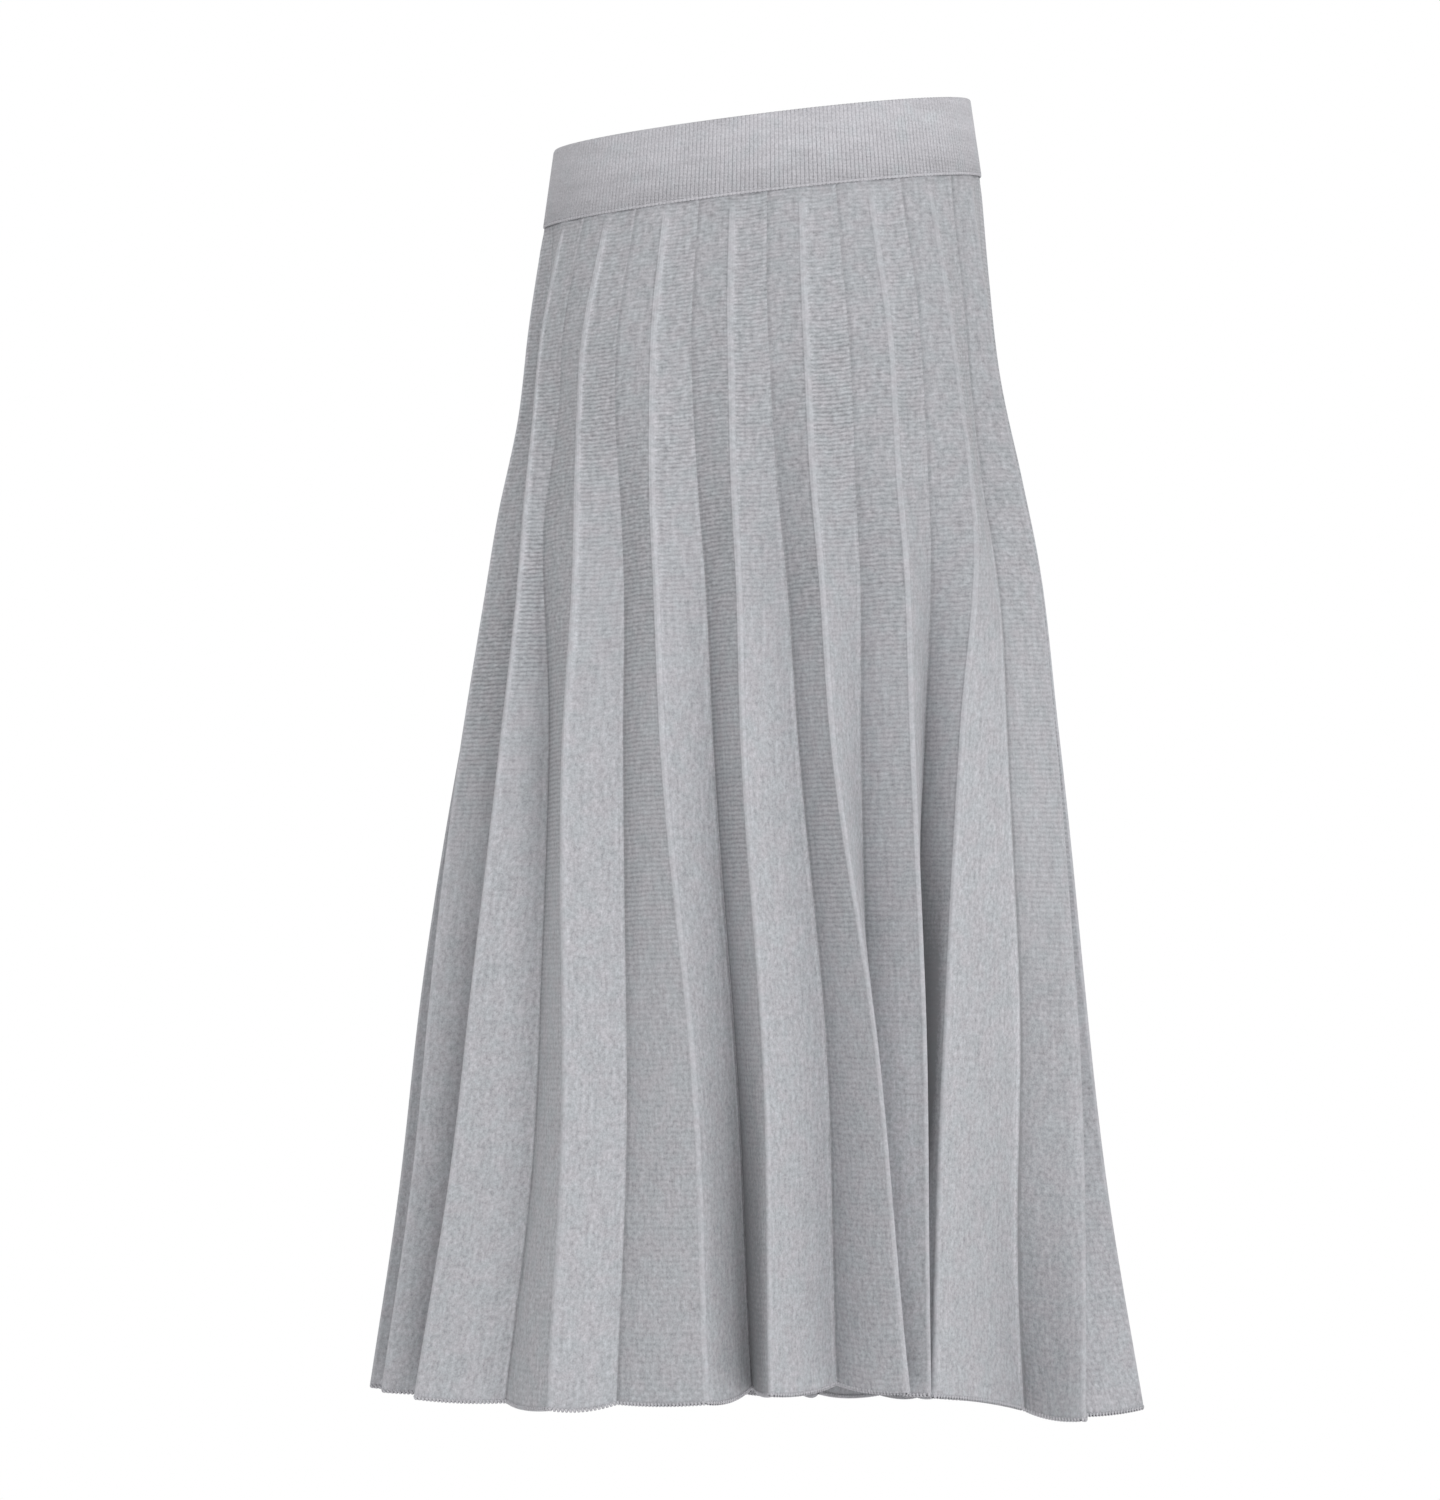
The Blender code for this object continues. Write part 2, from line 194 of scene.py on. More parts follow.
def smooth_curve(stations: Sequence[float], values: Sequence[float], at: float) -> float:
    """Reads a table smoothly, on a cubic curve through its rows.

    Args:
        stations: Where the rows stand.
        values: The rows' values.
        at: Where to read.

    Returns:
        The value at that place.
    """
    slopes = np.gradient(np.asarray(values, dtype=float), np.asarray(stations, dtype=float))
    k = int(np.clip(np.searchsorted(stations, at) - 1, 0, len(stations) - 2))
    span = stations[k + 1] - stations[k]
    t = (at - stations[k]) / span
    start = (2 * t**3 - 3 * t**2 + 1) * values[k] + (t**3 - 2 * t**2 + t) * span * slopes[k]
    end = (3 * t**2 - 2 * t**3) * values[k + 1] + (t**3 - t**2) * span * slopes[k + 1]
    return float(start + end)


def ease(low: float, high: float, value: Any) -> Any:
    """Soft step from 0 at low to 1 at high, for a number or an array."""
    t = np.clip((value - low) / (high - low), 0.0, 1.0)
    return t * t * (3 - 2 * t)


def unit(vectors: np.ndarray) -> np.ndarray:
    """Vectors brought to length 1."""
    return vectors / np.linalg.norm(vectors, axis=-1, keepdims=True)


def run_along(points: np.ndarray) -> np.ndarray:
    """Distance run along a line, at each of its points."""
    return np.concatenate([[0.0], np.cumsum(np.linalg.norm(np.diff(points, axis=0), axis=1))])


@dataclass(frozen=True)
class WornForm:
    """The form that the cloth takes on its wearer: level ellipses, tilted seam and tilted hem."""

    seam_height: float = -0.023
    seam_rise_x: float = -0.110
    seam_rise_y: float = -0.040
    hem_height: float = -0.750
    hem_rise_x: float = 0.026
    hem_rise_y: float = 0.056

    def section(self, drop: float) -> Section:
        """The level cut at any drop, read smoothly from the table."""
        drops = [row.drop for row in SECTIONS]
        return Section(*[smooth_curve(drops, column, drop) for column in zip(*SECTIONS)])

    def seam(self, points: np.ndarray) -> np.ndarray:
        """Height of the waist seam's plane over points (n, 2)."""
        return self.seam_height + points @ np.array([self.seam_rise_x, self.seam_rise_y])

    def hem(self, points: np.ndarray) -> np.ndarray:
        """Height of the hem's plane over points (n, 2)."""
        return self.hem_height + points @ np.array([self.hem_rise_x, self.hem_rise_y])

    @staticmethod
    def pitch(section: Section) -> float:
        """Length of one pleat's share of a section's outline."""
        wide, deep = section.half_width, section.half_depth
        # The usual close formula for an ellipse's outline
        ratio = ((wide - deep) / (wide + deep)) ** 2
        outline = math.pi * (wide + deep) * (1 + 3 * ratio / (10 + math.sqrt(4 - 3 * ratio)))
        return outline / PLEAT_COUNT

    @staticmethod
    def hull(section: Section, places: np.ndarray, inset: np.ndarray | float = 0.0) -> np.ndarray:
        """Points on a section's ellipse, drawn in along its normal.

        Args:
            section: The level cut.
            places: Places in pleats, one or many.
            inset: How far inside the ellipse, in metres.

        Returns:
            The points, (n, 2).
        """
        size = np.array([section.half_width, section.half_depth])
        angles = np.linspace(-math.pi, math.pi, OUTLINE_POINTS)
        run = run_along(np.stack([-np.sin(angles), np.cos(angles)], axis=1) * size)
        round_places = (run / run[-1] - 0.5) * PLEAT_COUNT
        places = np.atleast_1d(np.asarray(places, dtype=float))
        wrapped = (places + PLEAT_COUNT / 2) % PLEAT_COUNT - PLEAT_COUNT / 2
        angle = np.interp(wrapped, round_places, angles)
        circle = np.stack([-np.sin(angle), np.cos(angle)], axis=1)
        inward = -unit(circle / size) * np.atleast_1d(inset)[:, None]
        return np.array([section.centre_x, section.centre_y]) + circle * size + inward

    def corners(self, drop: float) -> tuple[np.ndarray, np.ndarray]:
        """Fold corners round one level, outer and inner folds by turns.

        Args:
            drop: How far below the waist seam.

        Returns:
            The corners' points (36, 2) and heights (36,).
        """
        section = self.section(drop)
        pitch = self.pitch(section)
        share = drop / SKIRT_DROP
        face = math.hypot(section.fold_depth, pitch / 2)
        outer, inner = [], []
        for index, pleat in enumerate(PLEATS):
            even = FIRST_PLACE + index
            strays = (SEAM_STRAY, *pleat.outer_strays())
            outer.append(even + smooth_curve(STRAY_DROPS, strays, drop))
            strays = (SEAM_STRAY, *pleat.inner_strays(PLEATS[(index + 1) % PLEAT_COUNT]))
            inner.append(even + 0.5 + smooth_curve(STRAY_DROPS, strays, drop))
        outer, inner = np.array(outer), np.array(inner)
        following = np.append(outer[1:], outer[0] + PLEAT_COUNT)
        spare = face**2 - (((inner - outer) * pitch) ** 2 + ((following - inner) * pitch) ** 2) / 2
        softness = FOLD_SOFTNESS * section.fold_depth
        extra = np.array([pleat.in_depth - 1 for pleat in PLEATS]) * share**2
        insets = np.sqrt((spare + np.hypot(spare, softness**2)) / 2) * (1 + extra)
        tucks = np.array([pleat.tuck for pleat in PLEATS]) * share**2
        places = np.stack([outer, inner], axis=1).ravel()
        depths = np.stack([tucks, insets], axis=1).ravel()
        lifts = np.array([(pleat.out_lift, pleat.in_lift) for pleat in PLEATS]).ravel()
        hull = self.hull(section, places)
        heights = (1 - share) * self.seam(hull) + share * self.hem(hull) + lifts * share**4
        return self.hull(section, places, depths), heights


# --------------------------------------------------------------------------- node writing


class Wire:
    """A node's socket that can stand in a sum like a number."""

    def __init__(self, desk: "Desk", socket: bpy.types.NodeSocket) -> None:
        """Keeps the socket and the desk that its tree is written at."""
        self.desk = desk
        self.socket = socket

    def math(self, operation: str, *others: Any) -> "Wire":
        """This value, then the others, through one Math node."""
        return self.desk.math(operation, self, *others)

    def __add__(self, other: Any) -> "Wire":
        """self + other"""
        return self.desk.math("ADD", self, other)

    def __radd__(self, other: Any) -> "Wire":
        """other + self"""
        return self.desk.math("ADD", other, self)

    def __sub__(self, other: Any) -> "Wire":
        """self - other"""
        return self.desk.math("SUBTRACT", self, other)

    def __rsub__(self, other: Any) -> "Wire":
        """other - self"""
        return self.desk.math("SUBTRACT", other, self)

    def __mul__(self, other: Any) -> "Wire":
        """self * other"""
        return self.desk.math("MULTIPLY", self, other)

    def __rmul__(self, other: Any) -> "Wire":
        """other * self"""
        return self.desk.math("MULTIPLY", other, self)

    def __truediv__(self, other: Any) -> "Wire":
        """self / other"""
        return self.desk.math("DIVIDE", self, other)

    def __rtruediv__(self, other: Any) -> "Wire":
        """other / self"""
        return self.desk.math("DIVIDE", other, self)

    def step(self, low: Any, high: Any) -> "Wire":
        """Soft step from 0 at low to 1 at high."""
        settings = {"interpolation_type": "SMOOTHSTEP"}
        values = {"Value": self, "From Min": low, "From Max": high}
        return self.desk.node("ShaderNodeMapRange", settings, values)["Result"]

    def past(self, span: Span) -> "Wire":
        """Soft step from 0 before a span to 1 past it."""
        return self.step(*span)

    def before(self, span: Span) -> "Wire":
        """Soft step from 1 before a span to 0 past it."""
        return 1.0 - self.step(*span)

    def waves(self, length: float) -> "Wire":
        """Even waves between 0 and 1, each of this length."""
        return (self * (math.tau / length)).math("COSINE") * 0.5 + 0.5

    def held(self, low: float = 0.0, high: float = 1.0) -> "Wire":
        """The value kept between two limits."""
        return self.math("MAXIMUM", low).math("MINIMUM", high)


class Speckle(NamedTuple):
    """A noise over the cloth: how its place is stretched and set apart, its scale and its roughness."""

    across: float
    along: float
    apart: float
    scale: float
    rough: float = 0.6
    detail: float = 2.0


class Outlets:
    """The outputs of a node, picked by name or number."""

    def __init__(self, desk: "Desk", made: bpy.types.Node) -> None:
        """Keeps the node and its desk."""
        self.desk = desk
        self.made = made

    def __getitem__(self, key: str | int) -> Wire:
        """The output with this name or number."""
        return Wire(self.desk, self.made.outputs[key])


class Desk:
    """Writes one node tree."""

    def __init__(self, tree: bpy.types.NodeTree) -> None:
        """Starts on an empty tree."""
        self.tree = tree

    def node(self, kind: str, settings: Values | None = None, values: Values | None = None) -> Outlets:
        """Adds any node.

        Args:
            kind: The node's type.
            settings: What the node is set to, and a ramp's "stops" as (place, colour) pairs.
            values: Numbers, colours or wires for its inputs, by name or number.

        Returns:
            The node's outputs.
        """
        made = self.tree.nodes.new(kind)
        for key, value in (settings or {}).items():
            if key == "stops":
                elements = made.color_ramp.elements
                while len(elements) < len(value):
                    elements.new(0.5)
                for element, (place, colour) in zip(elements, value):
                    element.position = place
                    element.color = colour
            else:
                setattr(made, key, value)
        for key, value in (values or {}).items():
            if isinstance(value, Wire):
                self.tree.links.new(value.socket, made.inputs[key])
            else:
                made.inputs[key].default_value = value
        return Outlets(self, made)

    def math(self, operation: str, *values: Any) -> Wire:
        """One Math node on wires or numbers."""
        numbered = dict(enumerate(values))
        return self.node("ShaderNodeMath", {"operation": operation}, numbered)["Value"]

    def vector(self, x: Any, y: Any, z: Any) -> Wire:
        """Three values as one vector."""
        return self.node("ShaderNodeCombineXYZ", None, {"X": x, "Y": y, "Z": z})["Vector"]

    def parts(self, vector: Wire) -> tuple[Wire, Wire, Wire]:
        """A vector's three values."""
        split = self.node("ShaderNodeSeparateXYZ", None, {"Vector": vector})
        return split["X"], split["Y"], split["Z"]

    def mix(self, factor: Any, first: Any, second: Any, blend: str = "MIX") -> Wire:
        """Two colours mixed."""
        settings = {"data_type": "RGBA", "blend_type": blend}
        values = {"Factor": factor, 6: first, 7: second}
        return self.node("ShaderNodeMix", settings, values)[2]

    def noise(self, vector: Wire, scale: float, detail: float = 2.0, rough: float = 0.6) -> Wire:
        """Soft noise between 0 and 1."""
        values = {"Vector": vector, "Scale": scale, "Detail": detail, "Roughness": rough}
        return self.node("ShaderNodeTexNoise", None, values)["Fac"]

    def speckle(self, across: Wire, along: Wire, kind: Speckle) -> Wire:
        """A noise over the cloth, between 0 and 1."""
        place = self.vector(across * kind.across, along * kind.along, kind.apart)
        return self.noise(place, kind.scale, kind.detail, kind.rough)

    def cloth(self) -> tuple[Wire, Wire, Wire]:
        """The cloth's UV map, and its distances across and along."""
        uv = self.node("ShaderNodeUVMap", {"uv_map": "cloth"})["UV"]
        return uv, *self.parts(uv)[:2]


def empty_desk(owner: bpy.types.ID) -> Desk:
    """Clears the nodes of a material or a sky, to write at."""
    owner.use_nodes = True
    owner.node_tree.nodes.clear()
    return Desk(owner.node_tree)


# --------------------------------------------------------------------------- finishes


class Yarn(Enum):
    """Colours of the heather yarn, linear."""

    BODY = (0.400, 0.405, 0.425, 1.0)
    PALE = (0.580, 0.587, 0.616, 1.0)
    DARK = (0.220, 0.223, 0.234, 1.0)
    WARM = (1.040, 0.985, 1.000, 1.0)
    COOL = (0.965, 1.005, 1.010, 1.0)


# Height of one rib stitch, and how much of the surface height the stitches and the fuzz take
BAND_STITCH = 0.0021
STITCH_RELIEF = 0.2
FUZZ_RELIEF = 0.6


@dataclass(frozen=True)
class KnitFinish:
    """What every knitted finish shares: heather yarn, matt and a little woolly."""

    name: str
    roughness: float = 0.93
    sheen: float = 0.12
    sheen_roughness: float = 0.55
    fleck: float = 0.90
    streak: float = 0.42
    grain: float = 0.45
    cloud: float = 0.12
    tint: float = 0.5
    warmth: float = 0.0
    darkest: float = 0.55
    tone_range: float = 0.9
    specular: float = 0.2
    roughness_fuzz: float = 0.08
    patch_scale: float = 70.0
    patch_span: Span = (0.30, 0.70)
    fuzz_scale: float = 900.0
    close_fibres: Speckle = Speckle(1.0, 0.7, 0.0, 450.0)
    lying_fibres: Speckle = Speckle(0.6, 0.8, 5.5, 450.0)
    streaks: Speckle = Speckle(0.9, 0.13, 9.2, 420.0, 0.5)
    grains: Speckle = Speckle(1.0, 0.8, 3.1, 1100.0, 0.5, 1.0)
    clouds: Speckle = Speckle(2.0, 0.8, 7.7, 40.0, 0.5)

    def start(self) -> tuple[Material, Desk]:
        """An empty material and the desk to write it at."""
        material = bpy.data.materials.new(self.name)
        return material, empty_desk(material)

    def finish(self, desk: Desk, shade: Wire, place: Wire, height: Wire, reach: float) -> None:
        """Joins brightness, roughness and surface height to the shader.

        Args:
            desk: Where the material is written.
            shade: Brightness factor round 1.
            place: Where on the cloth, in metres.
            height: Surface height, 0 to 1 or so.
            reach: Real height that 1 stands for, in metres.
        """
        tone = ((shade - self.darkest) / self.tone_range).held()
        stops = [(0.0, Yarn.DARK.value), (0.5, Yarn.BODY.value), (1.0, Yarn.PALE.value)]
        colour = desk.node("ShaderNodeValToRGB", {"stops": stops}, {"Fac": tone})["Color"]
        # Fibres of slightly warmer and cooler grey gather in patches
        patches = (desk.noise(place, self.patch_scale) - self.warmth).past(self.patch_span)
        tints = desk.mix(patches, Yarn.WARM.value, Yarn.COOL.value)
        colour = desk.mix(self.tint, colour, tints, "MULTIPLY")
        bump = desk.node("ShaderNodeBump", None, {"Strength": 1.0, "Distance": reach, "Height": height})
        fuzz = desk.noise(place, self.fuzz_scale) - 0.5
        values = {
            "Base Color": colour,
            "Roughness": (self.roughness + fuzz * self.roughness_fuzz).held(0.5, 1.0),
            "Normal": bump["Normal"],
            "Sheen Weight": self.sheen,
            "Sheen Roughness": self.sheen_roughness,
            "Specular IOR Level": self.specular,
        }
        shader = desk.node("ShaderNodeBsdfPrincipled", None, values)
        desk.node("ShaderNodeOutputMaterial", None, {"Surface": shader["BSDF"]})

    def heather(self, desk: Desk, across: Wire, along: Wire, spread: Any) -> Wire:
        """Light and dark fibres spun into one yarn.

        Args:
            desk: Where the material is written.
            across: Distance round the cloth, in metres.
            along: Distance down the cloth, in metres.
            spread: 0 where the fibres lie close, 1 where they spread along the courses.

        Returns:
            A brightness factor round 1.
        """
        kinds = (self.close_fibres, self.lying_fibres, self.streaks, self.grains, self.clouds)
        close, lying, streak, grain, cloud = (desk.speckle(across, along, kind) - 0.5 for kind in kinds)
        fleck = close + (lying - close) * spread
        uneven = fleck * self.fleck + streak * self.streak
        return 1.0 + uneven + grain * self.grain + cloud * self.cloud


@dataclass(frozen=True)
class ClothPlace:
    """Where a point lies on a panel, as wires: distances in metres, then shares from 0 to 1."""

    across: Wire
    along: Wire
    crest: Wire
    valley: Wire
    closed: Wire
    begun: Wire
    column: Wire
    smooth: Wire
    purl: Wire
    upper: Wire
    lower: Wire
    later: Wire


@dataclass(frozen=True)
class PlainKnitFinish(KnitFinish):
    """The panels: fine crosswise courses, a plain pale column on each outer fold.

    A span is the two places that a soft step runs between, in metres. Half of each pleat is its smooth
    face, where the courses fade, and half its purl face, which keeps them longer.
    """

    first_course: float = 0.00225
    course_growth: float = 0.0016
    course_reach: float = 0.00045
    column_wale: float = 0.0017
    waver: float = 0.0016
    lower_waver: float = 0.0010
    jog: float = 0.0008
    wavers: Speckle = Speckle(1.0, 1.0, 0.0, 110.0, 0.55)
    jogs: Speckle = Speckle(1.0, 0.5, 2.0, 330.0, 0.5, 1.0)
    breaks: Speckle = Speckle(1.0, 2.5, 5.0, 260.0)
    patches: Speckle = Speckle(1.0, 0.5, 4.0, 14.0, 0.5, 1.0)
    fuzzes: Speckle = Speckle(1.0, 0.6, 1.0, 600.0)
    break_span: Span = (0.25, 0.60)
    patchy_span: Span = (0.35, 0.60)

    # Spans down the cloth from the waist seam
    column_begins: Span = (0.003, 0.014)
    column_wears: Span = (0.28, 0.50)
    column_sinks: Span = (0.50, 0.62)
    courses_begin: Span = (0.02, 0.15)
    courses_waver: Span = (0.30, 0.60)
    upper_ends: Span = (0.14, 0.34)
    lower_begins: Span = (0.34, 0.60)
    purl_fades: Span = (0.34, 0.58)
    edge_dulls: Span = (0.10, 0.50)
    edge_ends: Span = (0.48, 0.62)
    early_ends: Span = (0.30, 0.60)

    # Spans across the pleats, which lie UV_SPREAD apart
    first_pleats: Span = (0.0, 0.5)
    early_pleats: Span = (0.20, 0.90)
    middle_pleats: Span = (0.55, 0.80)
    later_pleats: Span = (0.85, 1.45)
    first_delay: float = 0.12
    face_turn: Span = (-0.02, 0.02)

    # Spans away from an outer fold, and how much wider the pale edge is on the smooth face
    column_edge: Span = (0.0014, 0.0028)
    edge_span: Span = (0.0014, 0.0022)
    edge_widening: Span = (0.0008, 0.0034)

    # Spans away from an inner fold
    line_begins: Span = (0.0002, 0.0008)
    line_ends: Span = (0.0018, 0.0034)
    crease_shade_reach: Span = (0.0008, 0.0034)
    hollow: Span = (0.0010, 0.0140)
    painted_bounce_reach: Span = (0.0, 0.012)

    # How far the courses fade, as shares
    smooth_fade: float = 0.95
    purl_fade: float = 0.65
    later_fade: float = 0.45
    begin_fade: float = 0.40
    patch_fade: float = 0.40
    broken_fade: float = 0.75
    upper_boost: float = 0.2

    # Relief, as shares of course_reach
    course_relief: float = 0.6
    fuzz_relief: float = 0.35
    column_relief: float = 0.55
    wale_relief: float = 0.20
    line_relief: float = 0.8
    upper_line_relief: float = 0.4
    column_wear: float = 0.6
    later_wear: float = 0.3

    # Brightness, as shares
    course_shade: float = 0.36
    course_gap_shade: float = 0.13
    column_calm: float = 0.3
    edge_shade: float = 0.10
    edge_dulling: float = 0.07
    early_edge: float = 0.07
    later_edge: float = 0.35
    line_painted_highlight: float = 0.08
    upper_line_highlight: float = 0.01
    crease_painted_shade: float = 0.24
    upper_crease_shade: float = 0.09
    smooth_crease_shade: float = 0.15
    hollow_painted_shade: float = 0.10
    middle_painted_shade: float = 0.06
    later_painted_shade: float = 0.02
    purl_painted_shade: float = 0.035
    closed_painted_shade: float = 0.62
    smooth_painted_shade: float = 0.30
    smooth_painted_bounce: float = 0.90
    purl_spread: float = 0.5

    def material(self) -> Material:
        """Builds the finish.

        Returns:
            The material, which reads the cloth's UV map and its crest, valley and closed marks; the closed
            mark carries painted shade.
        """
        material, desk = self.start()
        at = self.place(desk)
        course, seen = self.courses(desk, at)
        line = at.valley.past(self.line_begins) * at.valley.before(self.line_ends) * at.smooth
        height = self.relief(desk, at, course * seen, line)
        shade = self.shade(desk, at, course, seen, line)
        self.finish(desk, shade, desk.vector(at.across, at.along, 0.0), height, self.course_reach)
        return material

    def place(self, desk: Desk) -> ClothPlace:
        """Reads where a point lies on its panel."""
        _, across, along = desk.cloth()
        marks = [
            desk.node("ShaderNodeAttribute", {"attribute_name": name})["Fac"]
            for name in ("crest", "valley", "closed")
        ]
        begun = along.past(self.column_begins)
        column = marks[0].before(self.column_edge) * begun
        # Each pleat's UVs run from minus to plus over its outer fold: plus is the smooth face
        smooth = (across * (math.tau / UV_SPREAD)).math("SINE").past(self.face_turn)
        # The pleats at a panel's first side keep their courses longest
        delay = across.before(self.first_pleats) * self.first_delay
        upper = (along - delay).before(self.upper_ends)
        lower = along.past(self.lower_begins)
        later = across.past(self.later_pleats)
        return ClothPlace(
            across, along, *marks, begun, column, smooth, 1.0 - smooth, upper, lower, later
        )

    def courses(self, desk: Desk, at: ClothPlace) -> tuple[Wire, Wire]:
        """Knitted courses, which grow a little towards the hem and waver.

        Args:
            desk: Where the material is written.
            at: Where the point lies.

        Returns:
            The courses' wave, 0 to 1, and how much of them is seen.
        """
        across, along = at.across, at.along
        waver = desk.speckle(across, along, self.wavers) - 0.5
        jog = desk.speckle(across, along, self.jogs) - 0.5
        reach = self.waver + along.past(self.courses_waver) * self.lower_waver
        wavy = along + waver * reach + jog * self.jog
        growth = self.course_growth / self.first_course
        turns = (1.0 + wavy * growth).math("LOGARITHM", math.e) / self.course_growth
        broken = desk.speckle(across, along, self.breaks).before(self.break_span)
        patchy = desk.speckle(across, along, self.patches).before(self.patchy_span)
        fading = at.smooth * (1.0 - at.upper) * self.smooth_fade
        fading = fading + at.purl * along.past(self.purl_fades) * self.purl_fade
        seen = (1.0 - fading) * (1.0 - at.column) * (1.0 + at.smooth * at.upper * self.upper_boost)
        for faint, fade in (
            (broken, self.broken_fade),
            (patchy, self.patch_fade),
            (along.before(self.courses_begin), self.begin_fade),
            (at.later, self.later_fade),
        ):
            seen = seen * (1.0 - faint * fade)
        return turns.waves(1.0), seen

    def relief(self, desk: Desk, at: ClothPlace, course: Wire, line: Wire) -> Wire:
        """Surface height: courses, fuzz, the plain column and the line beside an inner fold.

        Args:
            desk: Where the material is written.
            at: Where the point lies.
            course: The courses that are seen.
            line: The line beside an inner fold.

        Returns:
            The height, 0 to 1 or so.
        """
        fuzz = desk.speckle(at.across, at.along, self.fuzzes)
        worn = 1.0 - at.along.past(self.column_wears) * self.column_wear
        worn = worn - at.along.past(self.column_sinks) * at.later * self.later_wear
        wales = at.crest.waves(self.column_wale) * self.wale_relief
        ridge = at.column * worn * (self.column_relief + wales)
        edge = line * (self.line_relief - at.upper * self.upper_line_relief)
        return course * self.course_relief + fuzz * self.fuzz_relief + ridge + edge

    def shade(self, desk: Desk, at: ClothPlace, course: Wire, seen: Wire, line: Wire) -> Wire:
        """Brightness: heather, courses, pale folds, and painted highlight, painted shade and painted
        bounce light by the inner folds and across the faces.

        Args:
            desk: Where the material is written.
            at: Where the point lies.
            course: The courses' wave.
            seen: How much of the courses is seen.
            line: The line beside an inner fold.

        Returns:
            A brightness factor round 1.
        """
        spread = (at.purl * (1.0 - at.lower) * self.purl_spread + at.upper).held()
        shade = self.heather(desk, at.across, at.along, spread)
        shade = 1.0 + (shade - 1.0) * (1.0 - at.column * self.column_calm)
        # The courses' light and dark stripes are partly the knit's own tone and partly painted shade on
        # their relief, and the gaps between them get painted shade
        shade = shade * (1.0 + (course - 0.5) * self.course_shade * seen - self.course_gap_shade * seen)
        shade = shade * (1.0 + self.pale_edge(at))
        # Painted highlight along the smooth face's edge beside an inner fold, over its raised relief
        shade = shade * (1.0 + line * (self.line_painted_highlight - at.upper * self.upper_line_highlight))
        # Painted shade: an inner fold gets a dark line that softens into the purl face
        softened = self.smooth_crease_shade + at.purl * (1.0 - self.smooth_crease_shade)
        dark = at.valley.before(self.crease_shade_reach) * softened
        # Painted shade deep in each purl face's hollow
        hollow = at.valley.before(self.hollow) * at.purl * (1.0 - at.upper)
        shade = shade * (1.0 - dark * (self.crease_painted_shade - at.upper * self.upper_crease_shade))
        shade = shade * (1.0 - hollow * self.hollow_painted_shade)
        # Painted shade: the upper part of the middle and later pleats, which the key light makes
        # brightest, and the purl faces, which turn away from it, are darkened
        painted_side_shade = at.across.past(self.middle_pleats) * self.middle_painted_shade + at.later * self.later_painted_shade
        shade = shade * (1.0 - painted_side_shade * at.upper) * (1.0 - at.purl * self.purl_painted_shade)
        # Painted shade in the folds that close up, on the purl face and a little on the smooth face, and
        # painted bounce light on the smooth face close to the groove
        near = at.valley.before(self.painted_bounce_reach)
        smooth_painted_shut = at.closed.math("MAXIMUM", 0.0) * at.smooth
        painted_shut = at.closed * at.purl + smooth_painted_shut * (self.smooth_painted_shade - near * self.smooth_painted_bounce)
        return shade * (1.0 - painted_shut * self.closed_painted_shade)

    def pale_edge(self, at: ClothPlace) -> Wire:
        """How much paler the column on an outer fold is."""
        low, high = (edge + at.smooth * more for edge, more in zip(self.edge_span, self.edge_widening))
        width = 1.0 - at.crest.step(low, high)
        early = at.across.before(self.early_pleats) * at.along.before(self.early_ends)
        amount = self.edge_shade - at.along.past(self.edge_dulls) * self.edge_dulling
        amount = amount + early * self.early_edge
        fade = (1.0 - at.later * self.later_edge) * (1.0 - at.along.past(self.edge_ends) * at.later)
        return width * at.begun * amount * fade


@dataclass(frozen=True)
class RibKnitFinish(KnitFinish):
    """The waistband: stitches stacked in upright ribs."""

    lift: float = 1.12
    warmth: float = 0.15
    spread: float = 0.6
    fuzzes: Speckle = Speckle(1.0, 1.0, 1.0, 1100.0, 0.6, 3.0)
    reach: float = 0.0003

    def material(self) -> Material:
        """Builds the finish.

        Returns:
            The material, which reads the band's UV map.
        """
        material, desk = self.start()
        uv, across, along = desk.cloth()
        shade = self.heather(desk, across, along, self.spread) * self.lift
        fuzz = desk.speckle(across, along, self.fuzzes)
        stitch = along.waves(BAND_STITCH)
        height = stitch * STITCH_RELIEF + fuzz * FUZZ_RELIEF
        self.finish(desk, shade, uv, height, self.reach)
        return material


@dataclass(frozen=True)
class YarnFinish(KnitFinish):
    """Single raised stitches: linking chain, hem stitches and rib columns."""

    fleck: float = 0.8
    cloud: float = 0.35
    lift: float = 1.12
    warmth: float = 0.15
    stitch_shade: float = 0.03
    fine_scale: float = 1300.0
    cloud_scale: float = 60.0
    cloud_stretch: Triple = (0.5, 0.5, 2.4)
    reach: float = 0.00025

    def material(self) -> Material:
        """Builds the finish.

        Returns:
            The material, which reads Object coordinates.
        """
        material, desk = self.start()
        place = desk.node("ShaderNodeTexCoord")["Object"]
        sides = desk.parts(place)
        stretched = desk.vector(*[side * size for side, size in zip(sides, self.cloud_stretch)])
        cloud = desk.noise(stretched, self.cloud_scale, 3.0) - 0.5
        fleck = desk.noise(place, self.fuzz_scale) - 0.5
        fuzz = desk.noise(place, self.fine_scale, 3.0)
        stitch = sides[2].waves(BAND_STITCH)
        shade = 1.0 + fleck * self.fleck + cloud * self.cloud + (stitch - 0.5) * self.stitch_shade
        height = stitch * STITCH_RELIEF + fuzz * FUZZ_RELIEF
        self.finish(desk, shade * self.lift, place, height, self.reach)
        return material


